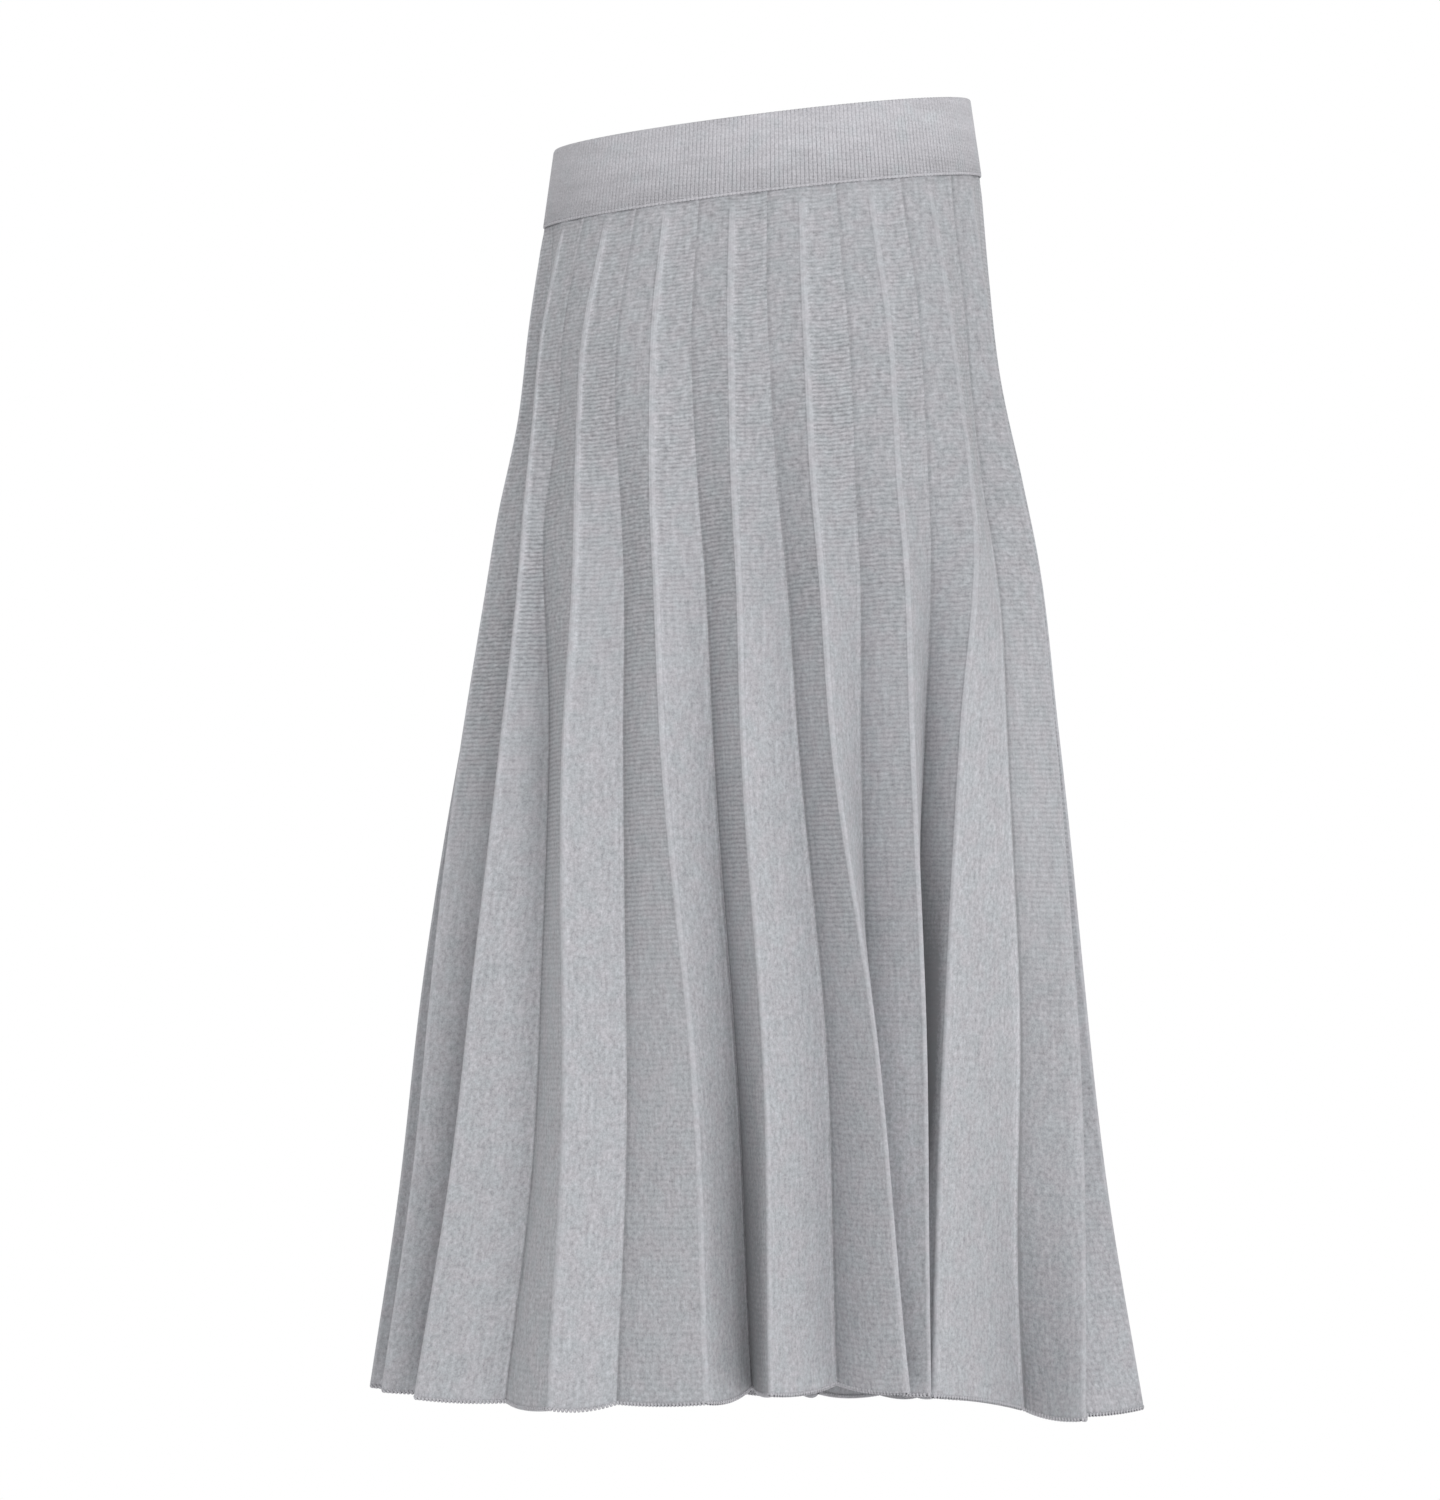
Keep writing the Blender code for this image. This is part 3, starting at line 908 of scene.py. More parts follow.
@dataclass(frozen=True)
class PaperFinish:
    """Plain pale studio paper."""

    name: str = "studio_paper"
    shade: float = 0.93
    cloud: float = 0.01
    cloud_scale: float = 0.8
    roughness: float = 0.95
    specular: float = 0.1

    def material(self) -> Material:
        """Builds the finish.

        Returns:
            The material, a very slightly uneven matt white.
        """
        material = bpy.data.materials.new(self.name)
        desk = empty_desk(material)
        place = desk.node("ShaderNodeTexCoord")["Object"]
        tone = self.shade + desk.noise(place, self.cloud_scale, 1.0, 0.5) * self.cloud
        colour = desk.mix(tone, (0.0, 0.0, 0.0, 1.0), (1.0, 1.0, 1.0, 1.0))
        values = {
            "Base Color": colour, "Roughness": self.roughness, "Specular IOR Level": self.specular
        }
        shader = desk.node("ShaderNodeBsdfPrincipled", None, values)
        desk.node("ShaderNodeOutputMaterial", None, {"Surface": shader["BSDF"]})
        return material


# --------------------------------------------------------------------------- mesh writing


def piece_from_grid(
    name: str,
    walls: np.ndarray,
    uvs: np.ndarray,
    closed: bool,
    marks: dict[str, np.ndarray],
    material: Material,
) -> Piece:
    """Makes a smooth closed piece from rings of points.

    Args:
        name: The piece's name.
        walls: Points (rings, around, 3); each ring goes round the wall's own section.
        uvs: UVs of each quad's two columns, (rings, around, 2 sides, 2).
        closed: True where the last ring joins the first, False where both ends are open.
        marks: Numbers for each point, by attribute name.
        material: The finish.

    Returns:
        The linked object, at the origin.
    """
    rings, around, _ = walls.shape
    index = np.arange(rings * around).reshape(rings, around)
    lower = np.roll(index, -1, axis=0) if closed else index[1:]
    upper = index if closed else index[:-1]
    quads = np.stack([upper, lower, np.roll(lower, -1, axis=1), np.roll(upper, -1, axis=1)], axis=-1)
    uv_low = np.roll(uvs, -1, axis=0) if closed else uvs[1:]
    uv_up = uvs if closed else uvs[:-1]
    corners = np.stack([uv_up[:, :, 0], uv_low[:, :, 0], uv_low[:, :, 1], uv_up[:, :, 1]], axis=2)
    mesh = bpy.data.meshes.new(name)
    faces = quads.reshape(-1, 4)
    mesh.vertices.add(rings * around)
    mesh.vertices.foreach_set("co", walls.reshape(-1))
    mesh.loops.add(faces.size)
    mesh.loops.foreach_set("vertex_index", faces.reshape(-1).astype(np.int32))
    mesh.polygons.add(len(faces))
    mesh.polygons.foreach_set("loop_start", np.arange(0, faces.size, 4, dtype=np.int32))
    mesh.polygons.foreach_set("use_smooth", np.ones(len(faces), dtype=bool))
    mesh.update(calc_edges=True)
    layer = mesh.uv_layers.new(name="cloth")
    layer.data.foreach_set("uv", corners.reshape(-1).astype(np.float32))
    for key, values in marks.items():
        mark = mesh.attributes.new(key, "FLOAT", "POINT")
        mark.data.foreach_set("value", values.reshape(-1).astype(np.float32))
    mesh.materials.append(material)
    turn_outward(mesh)
    return link(name, mesh)


def turn_outward(mesh: bpy.types.Mesh) -> None:
    """Turns a closed mesh's faces to point outwards."""
    build = bmesh.new()
    build.from_mesh(mesh)
    bmesh.ops.recalc_face_normals(build, faces=build.faces)
    build.to_mesh(mesh)
    build.free()


def link(name: str, data: bpy.types.ID) -> Piece:
    """Puts a mesh, a light or a camera in the scene as an object at the origin."""
    made = bpy.data.objects.new(name, data)
    bpy.context.scene.collection.objects.link(made)
    return made


def dress(piece: Piece, slot: str, *nodes: str) -> Piece:
    """Rides a piece on the body and hides the frame's nodes that it replaces.

    Args:
        piece: The finished piece.
        slot: Not used.
        nodes: The frame's nodes that it replaces.

    Returns:
        The piece.
    """
    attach(piece, BODY)
    if nodes:
        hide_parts(*nodes)
    LOG.info("%s: %d faces", piece.name, len(piece.data.polygons))
    return piece


# --------------------------------------------------------------------------- pleated panel


class Fold(NamedTuple):
    """The round of one fold: where it starts, bends and ends, and its share of each face."""

    start: np.ndarray
    control: np.ndarray
    end: np.ndarray
    share_in: float
    share_out: float


class Stretch(NamedTuple):
    """Points along a part of a level: level places, heights, and how much painted shade they get."""

    flat: np.ndarray
    height: np.ndarray
    closed: np.ndarray


class Wall(NamedTuple):
    """One side of the cloth at one level, as a line of points from seam fold to seam fold.

    crest and valley are the points' distances to the nearest outer and inner fold, run the
    distance along the line, and crest_at and valley_at the folds' own points.
    """

    points: np.ndarray
    crest: np.ndarray
    valley: np.ndarray
    closed: np.ndarray
    run: np.ndarray
    crest_at: np.ndarray
    valley_at: np.ndarray


@dataclass
class PleatedPanel:
    """Nine pleats of plain knit, from seam fold to seam fold."""

    name: str
    node: str
    first_pleat: int
    form: WornForm
    finish: Material
    seed: int
    pleats: int = PANEL_PLEATS
    wall: float = 0.0019
    seam_gap: float = 0.0003
    fold_round: float = 0.003
    fold_clearance: float = 0.0006
    face_billow: float = 0.030
    column_rise: float = 0.00045
    column_edge: Span = (0.0017, 0.0026)
    column_begins: Span = (0.002, 0.014)
    column_wears: Span = (0.28, 0.50)
    column_wear: float = 0.5
    face_crowding: float = 1.25
    face_wave: float = 0.0007
    wave_turns: Triple = (1.3, 2.7, 5.1)
    wave_sizes: Span = (0.4, 1.0)
    wave_begins: Span = (0.05, 0.20)
    painted_shut_reach: float = 0.35
    edge_step: float = 0.0006
    hem_cusp: float = 2.0
    hem_sag: float = 0.0015
    levels: int = 150
    outer_steps: int = 8
    inner_steps: int = 6
    face_steps: int = 9
    hem_lines: list[np.ndarray] = field(default_factory=list)

    def fold(self, corners: np.ndarray, is_outer: bool, side: int) -> Fold:
        """Rounds one fold on one side of the cloth.

        Args:
            corners: The corner before the fold, its own and the one after it.
            is_outer: True for an outer fold.
            side: 1 for the outside of the cloth, -1 for the inside.

        Returns:
            The fold's round.
        """
        before, here, after = corners
        length_in = np.linalg.norm(here - before)
        length_out = np.linalg.norm(after - here)
        along_in = (here - before) / length_in
        along_out = (after - here) / length_out
        out_in = np.array([along_in[1], -along_in[0]])
        out_out = np.array([along_out[1], -along_out[0]])
        outward = unit(out_in + out_out)
        half_cos = math.sqrt(max((1 - float(along_in @ along_out)) / 2, 0.0))
        half_sin = math.sqrt(max(1 - half_cos**2, LEAST_BEND))
        half_wall = self.wall / 2
        reach = max(self.fold_round, half_wall * half_cos / half_sin + self.fold_clearance)
        bend = 1 if is_outer else -1
        foot = self.fold_round if side == bend else reach
        start = here - along_in * foot + out_in * half_wall * side
        end = here + along_out * foot + out_out * half_wall * side
        peak = here + outward * (side * half_wall - bend * reach * half_cos / 2)
        control = 2 * peak - (start + end) / 2
        return Fold(start, control, end, foot / length_in, foot / length_out)

    def round_stretch(
        self, fold: Fold, heights: np.ndarray, index: int, t: np.ndarray, drop: float
    ) -> Stretch:
        """Points round one fold.

        Args:
            fold: The fold's round.
            heights: Heights of the fold before, this fold and the fold after.
            index: The fold's number round the skirt; outer folds are even.
            t: Places along the round, 0 to 1.
            drop: The level's drop.

        Returns:
            The points.
        """
        bend = np.outer((1 - t) ** 2, fold.start) + np.outer(2 * t * (1 - t), fold.control)
        bend += np.outer(t**2, fold.end)
        way = np.where(t < 0.5, fold.share_in * (1 - 2 * t), fold.share_out * (2 * t - 1))
        neighbour = np.where(t < 0.5, heights[0], heights[2])
        is_outer = index % 2 == 0
        painted_shut = 0.0 if is_outer else self.painted_shut(index, drop)
        height = self.height(heights[1], neighbour, way, is_outer, drop)
        return Stretch(bend, height, np.full(len(t), painted_shut))

    def face_stretch(
        self, folds: Sequence[Fold], corners: np.ndarray, heights: np.ndarray, index: int, drop: float
    ) -> Stretch:
        """Points on the face between two folds, which billows a little lower down.

        Args:
            folds: The folds at its two ends.
            corners: Those folds' corners, between the one before and the one after them.
            heights: The two folds' heights.
            index: The first fold's number round the skirt; outer folds are even.
            drop: The level's drop.

        Returns:
            The points.
        """
        here, following = folds
        is_outer = index % 2 == 0
        across = corners[2] - corners[1]
        length = float(np.linalg.norm(across))
        normal = np.array([across[1], -across[0]]) / length
        mouth = corners[3] - corners[1] if is_outer else corners[2] - corners[0]
        openness = min(float(np.linalg.norm(mouth)) / length, 1.0)
        t = np.linspace(0.0, 1.0, self.face_steps + 1)[1:-1]
        t = t**self.face_crowding if is_outer else 1 - (1 - t) ** self.face_crowding
        billow = (self.face_billow * length * drop / SKIRT_DROP + self.wave(index, drop)) * openness
        straight = here.end + np.outer(t, following.start - here.end)
        flat = straight + np.outer(billow * 4 * t * (1 - t), normal)
        way = here.share_out + (1 - here.share_out - following.share_in) * t
        # The closed mark is painted shade, which spreads across the face from the inner fold
        painted_shut = self.painted_shut(index + 1 if is_outer else index, drop)
        closed = painted_shut * ease(0.0, self.painted_shut_reach, way if is_outer else 1 - way)
        return Stretch(flat, self.height(heights[0], heights[1], way, is_outer, drop), closed)

    def wall_line(self, corners: np.ndarray, heights: np.ndarray, drop: float, side: int) -> Wall:
        """One side of the cloth at one level.

        Args:
            corners: Fold corners round the level.
            heights: Their heights.
            drop: The level's drop.
            side: 1 for the outside of the cloth, -1 for the inside.

        Returns:
            The line of points with its distances to the folds.
        """
        first = 2 * self.first_pleat - 1
        last = first + 2 * self.pleats
        turn = np.arange(first - 1, last + 2) % len(corners)
        corners, heights = corners[turn], heights[turn]
        # The first fold is an inner one, and every second fold after it
        folds = [self.fold(corners[k - 1 : k + 2], k % 2 == 0, side) for k in range(1, len(turn) - 1)]
        stretches: list[Stretch] = []
        peaks: list[int] = []
        count = 0
        for k, fold in enumerate(folds, start=1):
            index = first + k - 1
            t = np.linspace(0.0, 1.0, (self.outer_steps if index % 2 == 0 else self.inner_steps) + 1)
            # A panel starts and ends in the middle of its seam folds
            if index == first:
                t = t[t >= 0.5]
            if index == last:
                t = t[t <= 0.5]
            peaks.append(count + int(np.argmin(np.abs(t - 0.5))))
            stretches.append(self.round_stretch(fold, heights[k - 1 : k + 2], index, t, drop))
            count += len(t)
            if index < last:
                face = self.face_stretch(
                    (fold, folds[k]), corners[k - 1 : k + 3], heights[k : k + 2], index, drop
                )
                stretches.append(face)
                count += len(face.height)
        return self.finish_line(stretches, np.array(peaks[1::2]), np.array(peaks[0::2]), drop, side)

    def finish_line(
        self, stretches: list[Stretch], crest_at: np.ndarray, valley_at: np.ndarray, drop: float, side: int
    ) -> Wall:
        """Joins a level's stretches, leaves the seam gap and raises the plain columns.

        Args:
            stretches: The level's stretches in order.
            crest_at: The outer folds' points.
            valley_at: The inner folds' points.
            drop: The level's drop.
            side: 1 for the outside of the cloth, -1 for the inside.

        Returns:
            The finished line.
        """
        flat = np.vstack([stretch.flat for stretch in stretches])
        height = np.concatenate([stretch.height for stretch in stretches])
        closed = np.concatenate([stretch.closed for stretch in stretches])
        for at, inner in ((0, 1), (-1, -2)):
            flat[at] += unit(flat[inner] - flat[at]) * self.seam_gap / 2
        run = run_along(flat)
        crest, valley = (np.min(np.abs(run[:, None] - run[at]), axis=1) for at in (crest_at, valley_at))
        if side == 1:
            tangent = np.gradient(flat, axis=0)
            normal = unit(np.stack([tangent[:, 1], -tangent[:, 0]], axis=1))
            worn = 1 - self.column_wear * ease(*self.column_wears, drop)
            rise = self.column_rise * worn * ease(*self.column_begins, drop)
            flat = flat + normal * (rise * (1 - ease(*self.column_edge, crest)))[:, None]
        spot = np.column_stack([flat, height])
        return Wall(spot, crest, valley, closed, run, crest_at, valley_at)

    def height(self, here: float, there: Any, way: np.ndarray, is_outer: bool, drop: float) -> np.ndarray:
        """Heights from one fold towards the next, which hang in soft scallops with cusps.

        Args:
            here: The fold's height.
            there: The next fold's height.
            way: Shares of the way to the next fold.
            is_outer: True from an outer fold.
            drop: The level's drop.

        Returns:
            The heights.
        """
        share = drop / SKIRT_DROP
        weight = way**self.hem_cusp if is_outer else 1 - (1 - way) ** self.hem_cusp
        return here + (there - here) * weight - self.hem_sag * share**4 * 4 * way * (1 - way)

    @staticmethod
    def painted_shut(index: int, drop: float) -> float:
        """How much painted shade an inner fold lays on at a drop; below 0 it paints light."""
        shade = PAINTED_FOLD_SHADES.get(index // 2)
        if shade is None:
            return 0.0
        begun = ease(shade.start, shade.full, drop)
        over = ease(shade.fade, shade.end, drop)
        at_hem = ease(*PAINTED_HEM_SHADE_BEGINS, drop)
        return float(begun * (1 - over) * shade.amount + at_hem * shade.hem)

    def wave(self, index: int, drop: float) -> float:
        """Slow swelling of one face down its drop, in metres."""
        chance = np.random.default_rng(self.seed * SEED_STEP + index)
        phases = chance.uniform(0, math.tau, 3)
        sizes = chance.uniform(*self.wave_sizes, 3)
        turns = np.array(self.wave_turns)
        total = float(np.sum(sizes * np.sin(turns * math.tau * drop + phases) / turns))
        return self.face_wave * total * float(ease(*self.wave_begins, drop))

    def drops(self) -> np.ndarray:
        """Levels of the cloth, closer together where its edges turn."""
        main = np.linspace(0.0, SKIRT_DROP - 2 * self.edge_step, self.levels)
        return np.concatenate([main, [SKIRT_DROP - self.edge_step, SKIRT_DROP]])

    def build(self) -> Piece:
        """Makes the panel's cloth.

        Returns:
            The dressed piece, which replaces the panel's node.
        """
        drops = self.drops()
        outer: list[Wall] = []
        inner: list[Wall] = []
        for drop in drops:
            corners, heights = self.form.corners(float(drop))
            outer.append(self.wall_line(corners, heights, float(drop), 1))
            inner.append(self.wall_line(corners, heights, float(drop), -1))
        walls = np.array([np.vstack([o.points, i.points[::-1]]) for o, i in zip(outer, inner)])
        marks = {}
        for key in ("crest", "valley", "closed"):
            pairs = [(getattr(o, key), getattr(i, key)) for o, i in zip(outer, inner)]
            marks[key] = np.array([np.concatenate([o, i[::-1]]) for o, i in pairs])
        piece = self.close(walls, self.cloth_map(outer, inner), marks, len(outer[0].run))
        middle = (outer[-1].points + inner[-1].points) / 2
        self.hem_lines = [middle, unit(outer[-1].points - inner[-1].points)]
        return dress(piece, "plain_knit", self.node)

    def cloth_map(self, outer: list[Wall], inner: list[Wall]) -> np.ndarray:
        """UVs in metres: down the cloth, and across each pleat from its outer fold.

        Args:
            outer: The outside's levels.
            inner: The inside's levels.

        Returns:
            UVs of each quad's two columns, (levels, around, 2, 2).
        """
        stations = len(outer[0].run)
        columns = np.arange(stations - 1)
        uvs = np.zeros((len(outer), 2 * stations, 2, 2))
        uvs[..., 1] = (self.drops() * CLOTH_PER_DROP)[:, None, None]
        owner = np.searchsorted(outer[0].valley_at[1:], columns, side="right")
        back = 2 * stations - 2 - columns
        for level, walls in enumerate(zip(outer, inner)):
            for wall, at, first in zip(walls, (columns, back), (0, 1)):
                start = owner * UV_SPREAD - wall.run[wall.crest_at[owner]]
                uvs[level, at, first, 0] = start + wall.run[columns]
                uvs[level, at, 1 - first, 0] = start + wall.run[columns + 1]
        for at in (stations - 1, 2 * stations - 1):
            uvs[:, at, :, 0] = uvs[:, at - 1, 1, 0][:, None]
        return uvs

    def close(
        self, walls: np.ndarray, uvs: np.ndarray, marks: dict[str, np.ndarray], stations: int
    ) -> Piece:
        """Rounds the top and hem edges and closes the shell.

        Args:
            walls: Points of every level, outside line then inside line back.
            uvs: UVs in the same order.
            marks: Attributes in the same order.
            stations: Points in one line.

        Returns:
            The panel's object.
        """
        piece = piece_from_grid(self.name, walls, uvs, False, marks, self.finish)
        build = bmesh.new()
        build.from_mesh(piece.data)
        build.verts.ensure_lookup_table()
        layer = build.loops.layers.uv["cloth"]
        rings, around = walls.shape[:2]
        for ring in (0, rings - 1):
            base = ring * around
            for k in range(stations - 1):
                corners = [base + k, base + k + 1, base + around - 2 - k, base + around - 1 - k]
                face = build.faces.new([build.verts[c] for c in corners])
                face.smooth = False
                for loop, right in zip(face.loops, (0, 1, 1, 0)):
                    loop[layer].uv = uvs[ring, k, right]
        bmesh.ops.recalc_face_normals(build, faces=build.faces)
        build.to_mesh(piece.data)
        build.free()
        return piece


# --------------------------------------------------------------------------- waistband


@dataclass
class Waistband:
    """A tube of 1x1 rib, doubled and folded at its top edge."""

    form: WornForm
    cloth_finish: Material
    height: float = 0.046
    wall: float = 0.0024
    top_half_width: float = 0.1255
    top_half_depth: float = 0.0950
    seam_gap: float = 0.0003
    points: int = 432
    ribs: int = 288
    up_steps: int = 14
    fold_steps: int = 8
    outward_step: float = 0.01
    chain_inset: float = 0.0005
    chain_drop: float = 0.0004

    def section(self, share: float) -> Section:
        """The band's middle line at a share of its height."""
        base = self.form.section(0.0)
        wide = base.half_width + (self.top_half_width - base.half_width) * share
        deep = base.half_depth + (self.top_half_depth - base.half_depth) * share
        return base._replace(half_width=wide, half_depth=deep)

    def ring(self, share: float, offset: float, count: int) -> np.ndarray:
        """One ring of the band.

        Args:
            share: Share of the height, 0 at the seam.
            offset: Distance outside the middle line.
            count: Points round the ring.

        Returns:
            Points (count, 3).
        """
        places = np.arange(count) * PLEAT_COUNT / count
        flat = self.form.hull(self.section(share), places, -offset)
        z = self.form.seam(flat) + self.seam_gap + share * (self.height - self.seam_gap)
        return np.column_stack([flat, z])

    def build(self) -> Piece:
        """Makes the doubled cloth under the ribs.

        Returns:
            The dressed piece, which replaces the waistband's node.
        """
        half = self.wall / 2
        top = 1.0 - half / self.height
        path = [(share, half) for share in np.linspace(0.0, top, self.up_steps + 1)]
        for turn in np.linspace(0.0, math.pi, self.fold_steps + 1)[1:-1]:
            path.append((top + half / self.height * math.sin(turn), half * math.cos(turn)))
        path += [(share, -half) for share in np.linspace(top, 0.0, self.up_steps + 1)]
        walls = np.array([self.ring(share, offset, self.points) for share, offset in path])
        step = np.linalg.norm(np.diff(walls, axis=0), axis=2).mean(axis=1)
        along = np.concatenate([[0.0], np.cumsum(step)])
        pitch = self.form.pitch(self.section(0.5)) * PLEAT_COUNT / self.points
        uvs = np.zeros((len(path), self.points, 2, 2))
        uvs[..., 1] = along[:, None, None]
        uvs[:, :, 0, 0] = np.arange(self.points) * pitch
        uvs[:, :, 1, 0] = np.arange(1, self.points + 1) * pitch
        piece = piece_from_grid("rib_waistband", walls, uvs, True, {}, self.cloth_finish)
        return dress(piece, "rib_knit", "waistband")

    def rib_feet(self) -> tuple[np.ndarray, np.ndarray, np.ndarray]:
        """Where each rib stands.

        Returns:
            Feet on the middle line, unit directions up the band, and unit directions outward.
        """
        feet = self.ring(0.0, 0.0, self.ribs)
        heads = self.ring(1.0, 0.0, self.ribs)
        outside = self.ring(0.0, self.outward_step, self.ribs)
        up = unit(heads - feet)
        out = outside - feet
        return feet, up, unit(out - np.sum(out * up, axis=1, keepdims=True) * up)

    def seam_line(self) -> tuple[np.ndarray, np.ndarray, np.ndarray]:
        """The linking chain's line: points, unit directions up, unit directions outward."""
        feet, up, out = self.rib_feet()
        return feet + out * (self.wall / 2 - self.chain_inset) - up * self.chain_drop, up, out


# --------------------------------------------------------------------------- repeated stitches


class StitchShape(Enum):
    """Shapes of a repeated stitch."""

    HAIRPIN = "hairpin"
    BEAD = "bead"


@dataclass
class StitchRow:
    """A row of equal stitches set along a line by Geometry Nodes."""

    name: str
    shape: StitchShape
    finish: Material
    half_width: float
    rise: float
    outer_leg: float = 0.0
    inner_leg: float = 0.0
    bend: float = 0.0
    slant: float = 0.0
    jitter: float = 0.0
    seed: int = 11
    flatness: float = 0.35
    sides: int = 6
    segments: int = 8
    rings: int = 5

    INPUTS = (
        ("Half Width", "NodeSocketFloat", "half_width"),
        ("Rise", "NodeSocketFloat", "rise"),
        ("Outer Leg", "NodeSocketFloat", "outer_leg"),
        ("Inner Leg", "NodeSocketFloat", "inner_leg"),
        ("Bend Radius", "NodeSocketFloat", "bend"),
        ("Slant", "NodeSocketFloat", "slant"),
        ("Jitter", "NodeSocketFloat", "jitter"),
        ("Seed", "NodeSocketInt", "seed"),
        ("Yarn", "NodeSocketMaterial", "finish"),
    )

    def tree(self) -> tuple[bpy.types.NodeTree, dict[str, str]]:
        """Writes the node tree.

        Returns:
            The tree, and its inputs' identifiers by name.
        """
        tree = bpy.data.node_groups.new(f"{self.name}_stitches", "GeometryNodeTree")
        face = tree.interface
        face.new_socket("Line", in_out="INPUT", socket_type="NodeSocketGeometry")
        names = {}
        for title, kind, _ in self.INPUTS:
            names[title] = face.new_socket(title, in_out="INPUT", socket_type=kind).identifier
        face.new_socket("Stitches", in_out="OUTPUT", socket_type="NodeSocketGeometry")
        desk = Desk(tree)
        given = desk.node("NodeGroupInput")
        stitch = self.hairpin(desk, given) if self.shape is StitchShape.HAIRPIN else self.bead(desk, given)
        values = {"Points": given["Line"], "Instance": stitch, "Rotation": self.rotation(desk, given)}
        row = desk.node("GeometryNodeInstanceOnPoints", None, values)["Instances"]
        row = desk.node("GeometryNodeRealizeInstances", None, {"Geometry": row})["Geometry"]
        values = {"Geometry": row, "Material": given["Yarn"]}
        row = desk.node("GeometryNodeSetMaterial", None, values)["Geometry"]
        desk.node("NodeGroupOutput", None, {"Stitches": row})
        return tree, names

    @staticmethod
    def rotation(desk: Desk, given: Outlets) -> Wire:
        """How each stitch is turned: up and out as its point says, then tilted a little.

        Args:
            desk: Where the tree is written.
            given: The tree's inputs.

        Returns:
            The rotation at each point.
        """
        turn = None
        for name, settings in (("up", {"axis": "Z"}), ("out", {"axis": "Y", "pivot_axis": "Z"})):
            settings_read = {"data_type": "FLOAT_VECTOR"}
            read = desk.node("GeometryNodeInputNamedAttribute", settings_read, {"Name": name})
            values = {"Vector": read["Attribute"]}
            if turn:
                values["Rotation"] = turn
            turn = desk.node("FunctionNodeAlignRotationToVector", settings, values)["Rotation"]
        values = {2: -1.0, 3: 1.0, "Seed": given["Seed"]}
        chance = desk.node("FunctionNodeRandomValue", {"data_type": "FLOAT"}, values)[1]
        tilt = desk.vector(0.0, given["Slant"] + chance * given["Jitter"], 0.0)
        tilt = desk.node("FunctionNodeEulerToRotation", None, {"Euler": tilt})["Rotation"]
        values = {"Rotation": turn, "Rotate By": tilt}
        return desk.node("FunctionNodeRotateRotation", {"rotation_space": "LOCAL"}, values)["Rotation"]

    @staticmethod
    def shaped(desk: Desk, mesh: Wire, spot: Wire) -> Wire:
        """A mesh with its points moved, shaded smooth."""
        moved = desk.node("GeometryNodeSetPosition", None, {"Geometry": mesh, "Position": spot})
        values = {"Geometry": moved["Geometry"], "Shade Smooth": True}
        return desk.node("GeometryNodeSetShadeSmooth", None, values)["Geometry"]

    def hairpin(self, desk: Desk, given: Outlets) -> Wire:
        """A half-round bar that runs up one side of an edge, over it and down the other.

        Args:
            desk: Where the tree is written.
            given: The tree's inputs.

        Returns:
            The stitch's mesh.
        """
        values = {"Vertices": self.sides, "Side Segments": self.segments, "Radius": 1.0, "Depth": 1.0}
        bar = desk.node("GeometryNodeMeshCylinder", None, values)["Mesh"]
        x, y, z = desk.parts(desk.node("GeometryNodeInputPosition")["Position"])
        place = (z + 0.5) * self.segments
        turns = self.segments - 2
        first = place.held() - 1.0
        angle = ((place - 1.0) / turns).held() * math.pi
        last = (place - (self.segments - 1)).held()
        bend = given["Bend Radius"]
        swell = y.math("MAXIMUM", -self.flatness) * given["Rise"]
        sine, cosine = angle.math("SINE"), angle.math("COSINE")
        across = x * given["Half Width"]
        out = (bend + swell) * cosine
        up = first * given["Outer Leg"] + (bend + swell) * sine - last * given["Inner Leg"]
        return self.shaped(desk, bar, desk.vector(across, out, up))

    def bead(self, desk: Desk, given: Outlets) -> Wire:
        """A small oval bump of yarn that lies along the line.

        Args:
            desk: Where the tree is written.
            given: The tree's inputs.

        Returns:
            The stitch's mesh.
        """
        values = {"Segments": self.segments, "Rings": self.rings, "Radius": 1.0}
        ball = desk.node("GeometryNodeMeshUVSphere", None, values)["Mesh"]
        x, y, z = desk.parts(desk.node("GeometryNodeInputPosition")["Position"])
        spot = desk.vector(x * given["Half Width"], y * given["Rise"], z * given["Outer Leg"])
        return self.shaped(desk, ball, spot)

    def build(self, points: np.ndarray, up: np.ndarray, out: np.ndarray) -> Piece:
        """Sets the stitches on points.

        Args:
            points: Where the stitches stand, (n, 3).
            up: Unit directions that the stitches stand up in.
            out: Unit directions away from the cloth.

        Returns:
            The piece, a plain mesh.
        """
        line = bpy.data.meshes.new(f"{self.name}_line")
        line.from_pydata(points.tolist(), [], [])
        for key, values in (("up", up), ("out", out)):
            mark = line.attributes.new(key, "FLOAT_VECTOR", "POINT")
            mark.data.foreach_set("vector", values.reshape(-1).astype(np.float32))
        holder = link(f"{self.name}_holder", line)
        tree, names = self.tree()
        modifier = holder.modifiers.new("Stitches", "NODES")
        modifier.node_group = tree
        for title, _, size in self.INPUTS:
            modifier[names[title]] = getattr(self, size)
        graph = bpy.context.evaluated_depsgraph_get()
        graph.update()
        mesh = bpy.data.meshes.new_from_object(holder.evaluated_get(graph), depsgraph=graph)
        mesh.name = self.name
        holder.modifiers.clear()
        bpy.data.objects.remove(holder, do_unlink=True)
        turn_outward(mesh)
        return link(self.name, mesh)


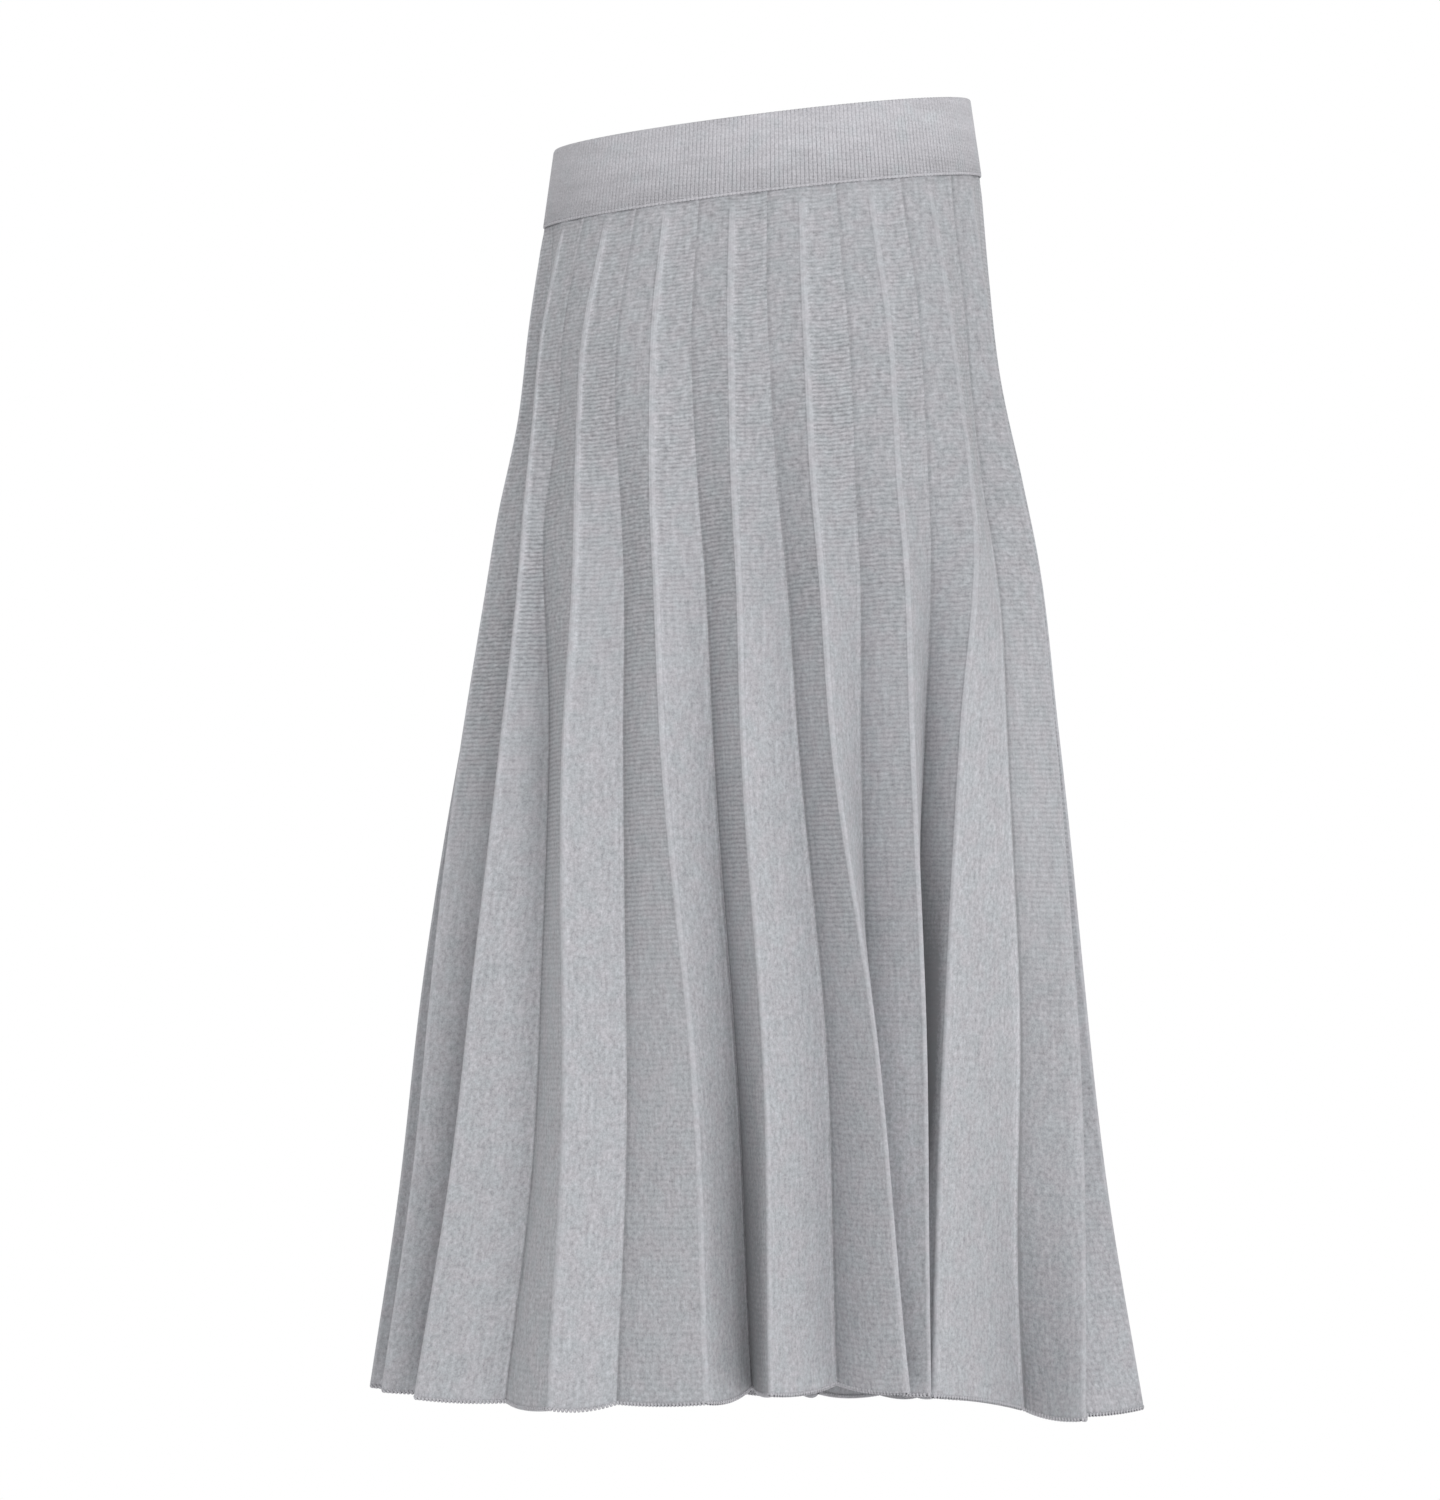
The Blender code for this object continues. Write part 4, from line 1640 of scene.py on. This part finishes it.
def spaced(points: np.ndarray, out: np.ndarray, pitch: float) -> tuple[np.ndarray, np.ndarray]:
    """Even places along a line.

    Args:
        points: The line's points.
        out: Directions at them.
        pitch: Distance between places, in metres.

    Returns:
        The places, and the unit directions outward there.
    """
    run = run_along(points)
    count = max(int(round(run[-1] / pitch)), 2)
    at = (np.arange(count) + 0.5) * run[-1] / count
    spots, facing = (
        np.column_stack([np.interp(at, run, column) for column in rows.T]) for rows in (points, out)
    )
    return spots, unit(facing)


# --------------------------------------------------------------------------- studio


@dataclass
class Studio:
    """Pale floor, plain soft light and the camera."""

    paper: Material
    floor_height: float = -1.07
    floor_radius: float = 2.4
    floor_sides: int = 96
    camera_place: Triple = (-0.6402, 4.5552, -0.45)
    camera_aim: Triple = (0.0252, 0.0035, -0.3561)
    lens: float = 182.16
    clip: Span = (0.05, 60.0)
    backdrop: float = 1.0
    sky: float = 0.76
    light_aim: Triple = (0.0, 0.0, -0.35)
    light_size: float = 2.0
    key_place: Triple = (-1.75, 3.03, 0.92)
    key_power: float = 62.0
    fill_place: Triple = (0.50, -3.30, 0.92)
    fill_power: float = 40.0

    def floor(self) -> Piece:
        """A wide round sheet of paper on the ground."""
        build = bmesh.new()
        bmesh.ops.create_circle(build, cap_ends=True, segments=self.floor_sides, radius=self.floor_radius)
        bmesh.ops.translate(build, verts=build.verts, vec=(0.0, 0.0, self.floor_height))
        mesh = bpy.data.meshes.new("studio_floor")
        build.to_mesh(mesh)
        build.free()
        mesh.materials.append(self.paper)
        made = link("studio_floor", mesh)
        return made

    @staticmethod
    def stand(name: str, device: bpy.types.ID, place: Triple, aim: Triple) -> Piece:
        """Puts a light or a camera at a place, aimed at a point."""
        made = link(name, device)
        made.location = place
        made.rotation_mode = "QUATERNION"
        made.rotation_quaternion = (Vector(aim) - Vector(place)).to_track_quat("-Z", "Y")
        return made

    def light(self, name: str, place: Triple, power: float) -> None:
        """A square soft light, with its power in watts."""
        lamp = bpy.data.lights.new(name, "AREA")
        lamp.shape = "SQUARE"
        lamp.size = self.light_size
        lamp.energy = power
        self.stand(name, lamp, place, self.light_aim)

    def build(self) -> None:
        """Sets floor, lights, sky and camera."""
        scene = bpy.context.scene
        self.floor()
        world = bpy.data.worlds.new("studio_sky")
        desk = empty_desk(world)
        seen = desk.node("ShaderNodeLightPath")["Is Camera Ray"]
        strength = self.sky + seen * (self.backdrop - self.sky)
        values = {"Color": (1.0, 1.0, 1.0, 1.0), "Strength": strength}
        sky = desk.node("ShaderNodeBackground", None, values)["Background"]
        desk.node("ShaderNodeOutputWorld", None, {"Surface": sky})
        scene.world = world
        self.light("key", self.key_place, self.key_power)
        self.light("fill", self.fill_place, self.fill_power)
        lens = bpy.data.cameras.new("camera")
        lens.lens = self.lens
        lens.clip_start, lens.clip_end = self.clip
        scene.camera = self.stand("camera", lens, self.camera_place, self.camera_aim)
        scene.view_settings.view_transform = "Standard"
        LOG.info("studio is set")


# --------------------------------------------------------------------------- assembly


def dress_band(band: Waistband, rib_yarn: Material, edge_yarn: Material) -> Piece:
    """Builds the waistband with its ribs and linking chain.

    Args:
        band: The waistband.
        rib_yarn: Finish of the ribs.
        edge_yarn: Finish of the linking chain.

    Returns:
        The waistband's cloth.
    """
    cloth = band.build()
    columns = StitchRow(
        "waistband_ribs",
        StitchShape.HAIRPIN,
        rib_yarn,
        half_width=0.00150,
        rise=0.00032,
        outer_leg=band.height - RIB_SHORT,
        inner_leg=band.height - RIB_SHORT,
        bend=band.wall / 2,
        jitter=0.002,
    )
    feet, up, out = band.rib_feet()
    ribs = dress(columns.build(feet + up * (band.height - RIB_TOP), up, out), "rib_knit")
    chain = StitchRow(
        "waist_linking",
        StitchShape.BEAD,
        edge_yarn,
        half_width=0.0019,
        rise=0.0008,
        outer_leg=0.0012,
        slant=0.12,
        jitter=0.05,
    )
    linking = dress(chain.build(*band.seam_line()), "rib_knit")
    return cloth


def dress_panel(panel: PleatedPanel, edge_yarn: Material) -> None:
    """Builds a panel with its hem stitches.

    Args:
        panel: The panel.
        edge_yarn: Finish of the hem stitches.
    """
    cloth = panel.build()
    spots, facing = spaced(*panel.hem_lines, pitch=HEM_PITCH)
    down = np.tile([0.0, 0.0, -1.0], (len(spots), 1))
    edge = StitchRow(
        f"{panel.name}_hem",
        StitchShape.HAIRPIN,
        edge_yarn,
        half_width=0.00085,
        rise=0.00045,
        outer_leg=0.0013,
        inner_leg=0.0013,
        bend=panel.wall / 2,
        slant=0.35,
        jitter=0.08,
        seed=panel.seed,
    )
    hem = dress(edge.build(spots, down, facing), "plain_knit")


def main() -> None:
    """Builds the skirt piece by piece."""
    logging.basicConfig(level=logging.INFO, format="%(name)s %(message)s")
    form = WornForm()
    plain = PlainKnitFinish("plain_knit").material()
    rib = RibKnitFinish("rib_knit").material()
    rib_yarn = YarnFinish("rib_yarn").material()
    edge_yarn = YarnFinish("edge_yarn", lift=1.06).material()
    Studio(PaperFinish().material()).build()

    waistband = dress_band(Waistband(form, rib), rib_yarn, edge_yarn)
    for name, node, first, seed in (
        ("back_pleats", "back_panel", 0, 3),
        ("front_pleats", "front_panel", PANEL_PLEATS, 5),
    ):
        dress_panel(PleatedPanel(name, node, first, form, plain, seed), edge_yarn)

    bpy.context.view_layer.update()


if __name__ == "__main__":
    main()
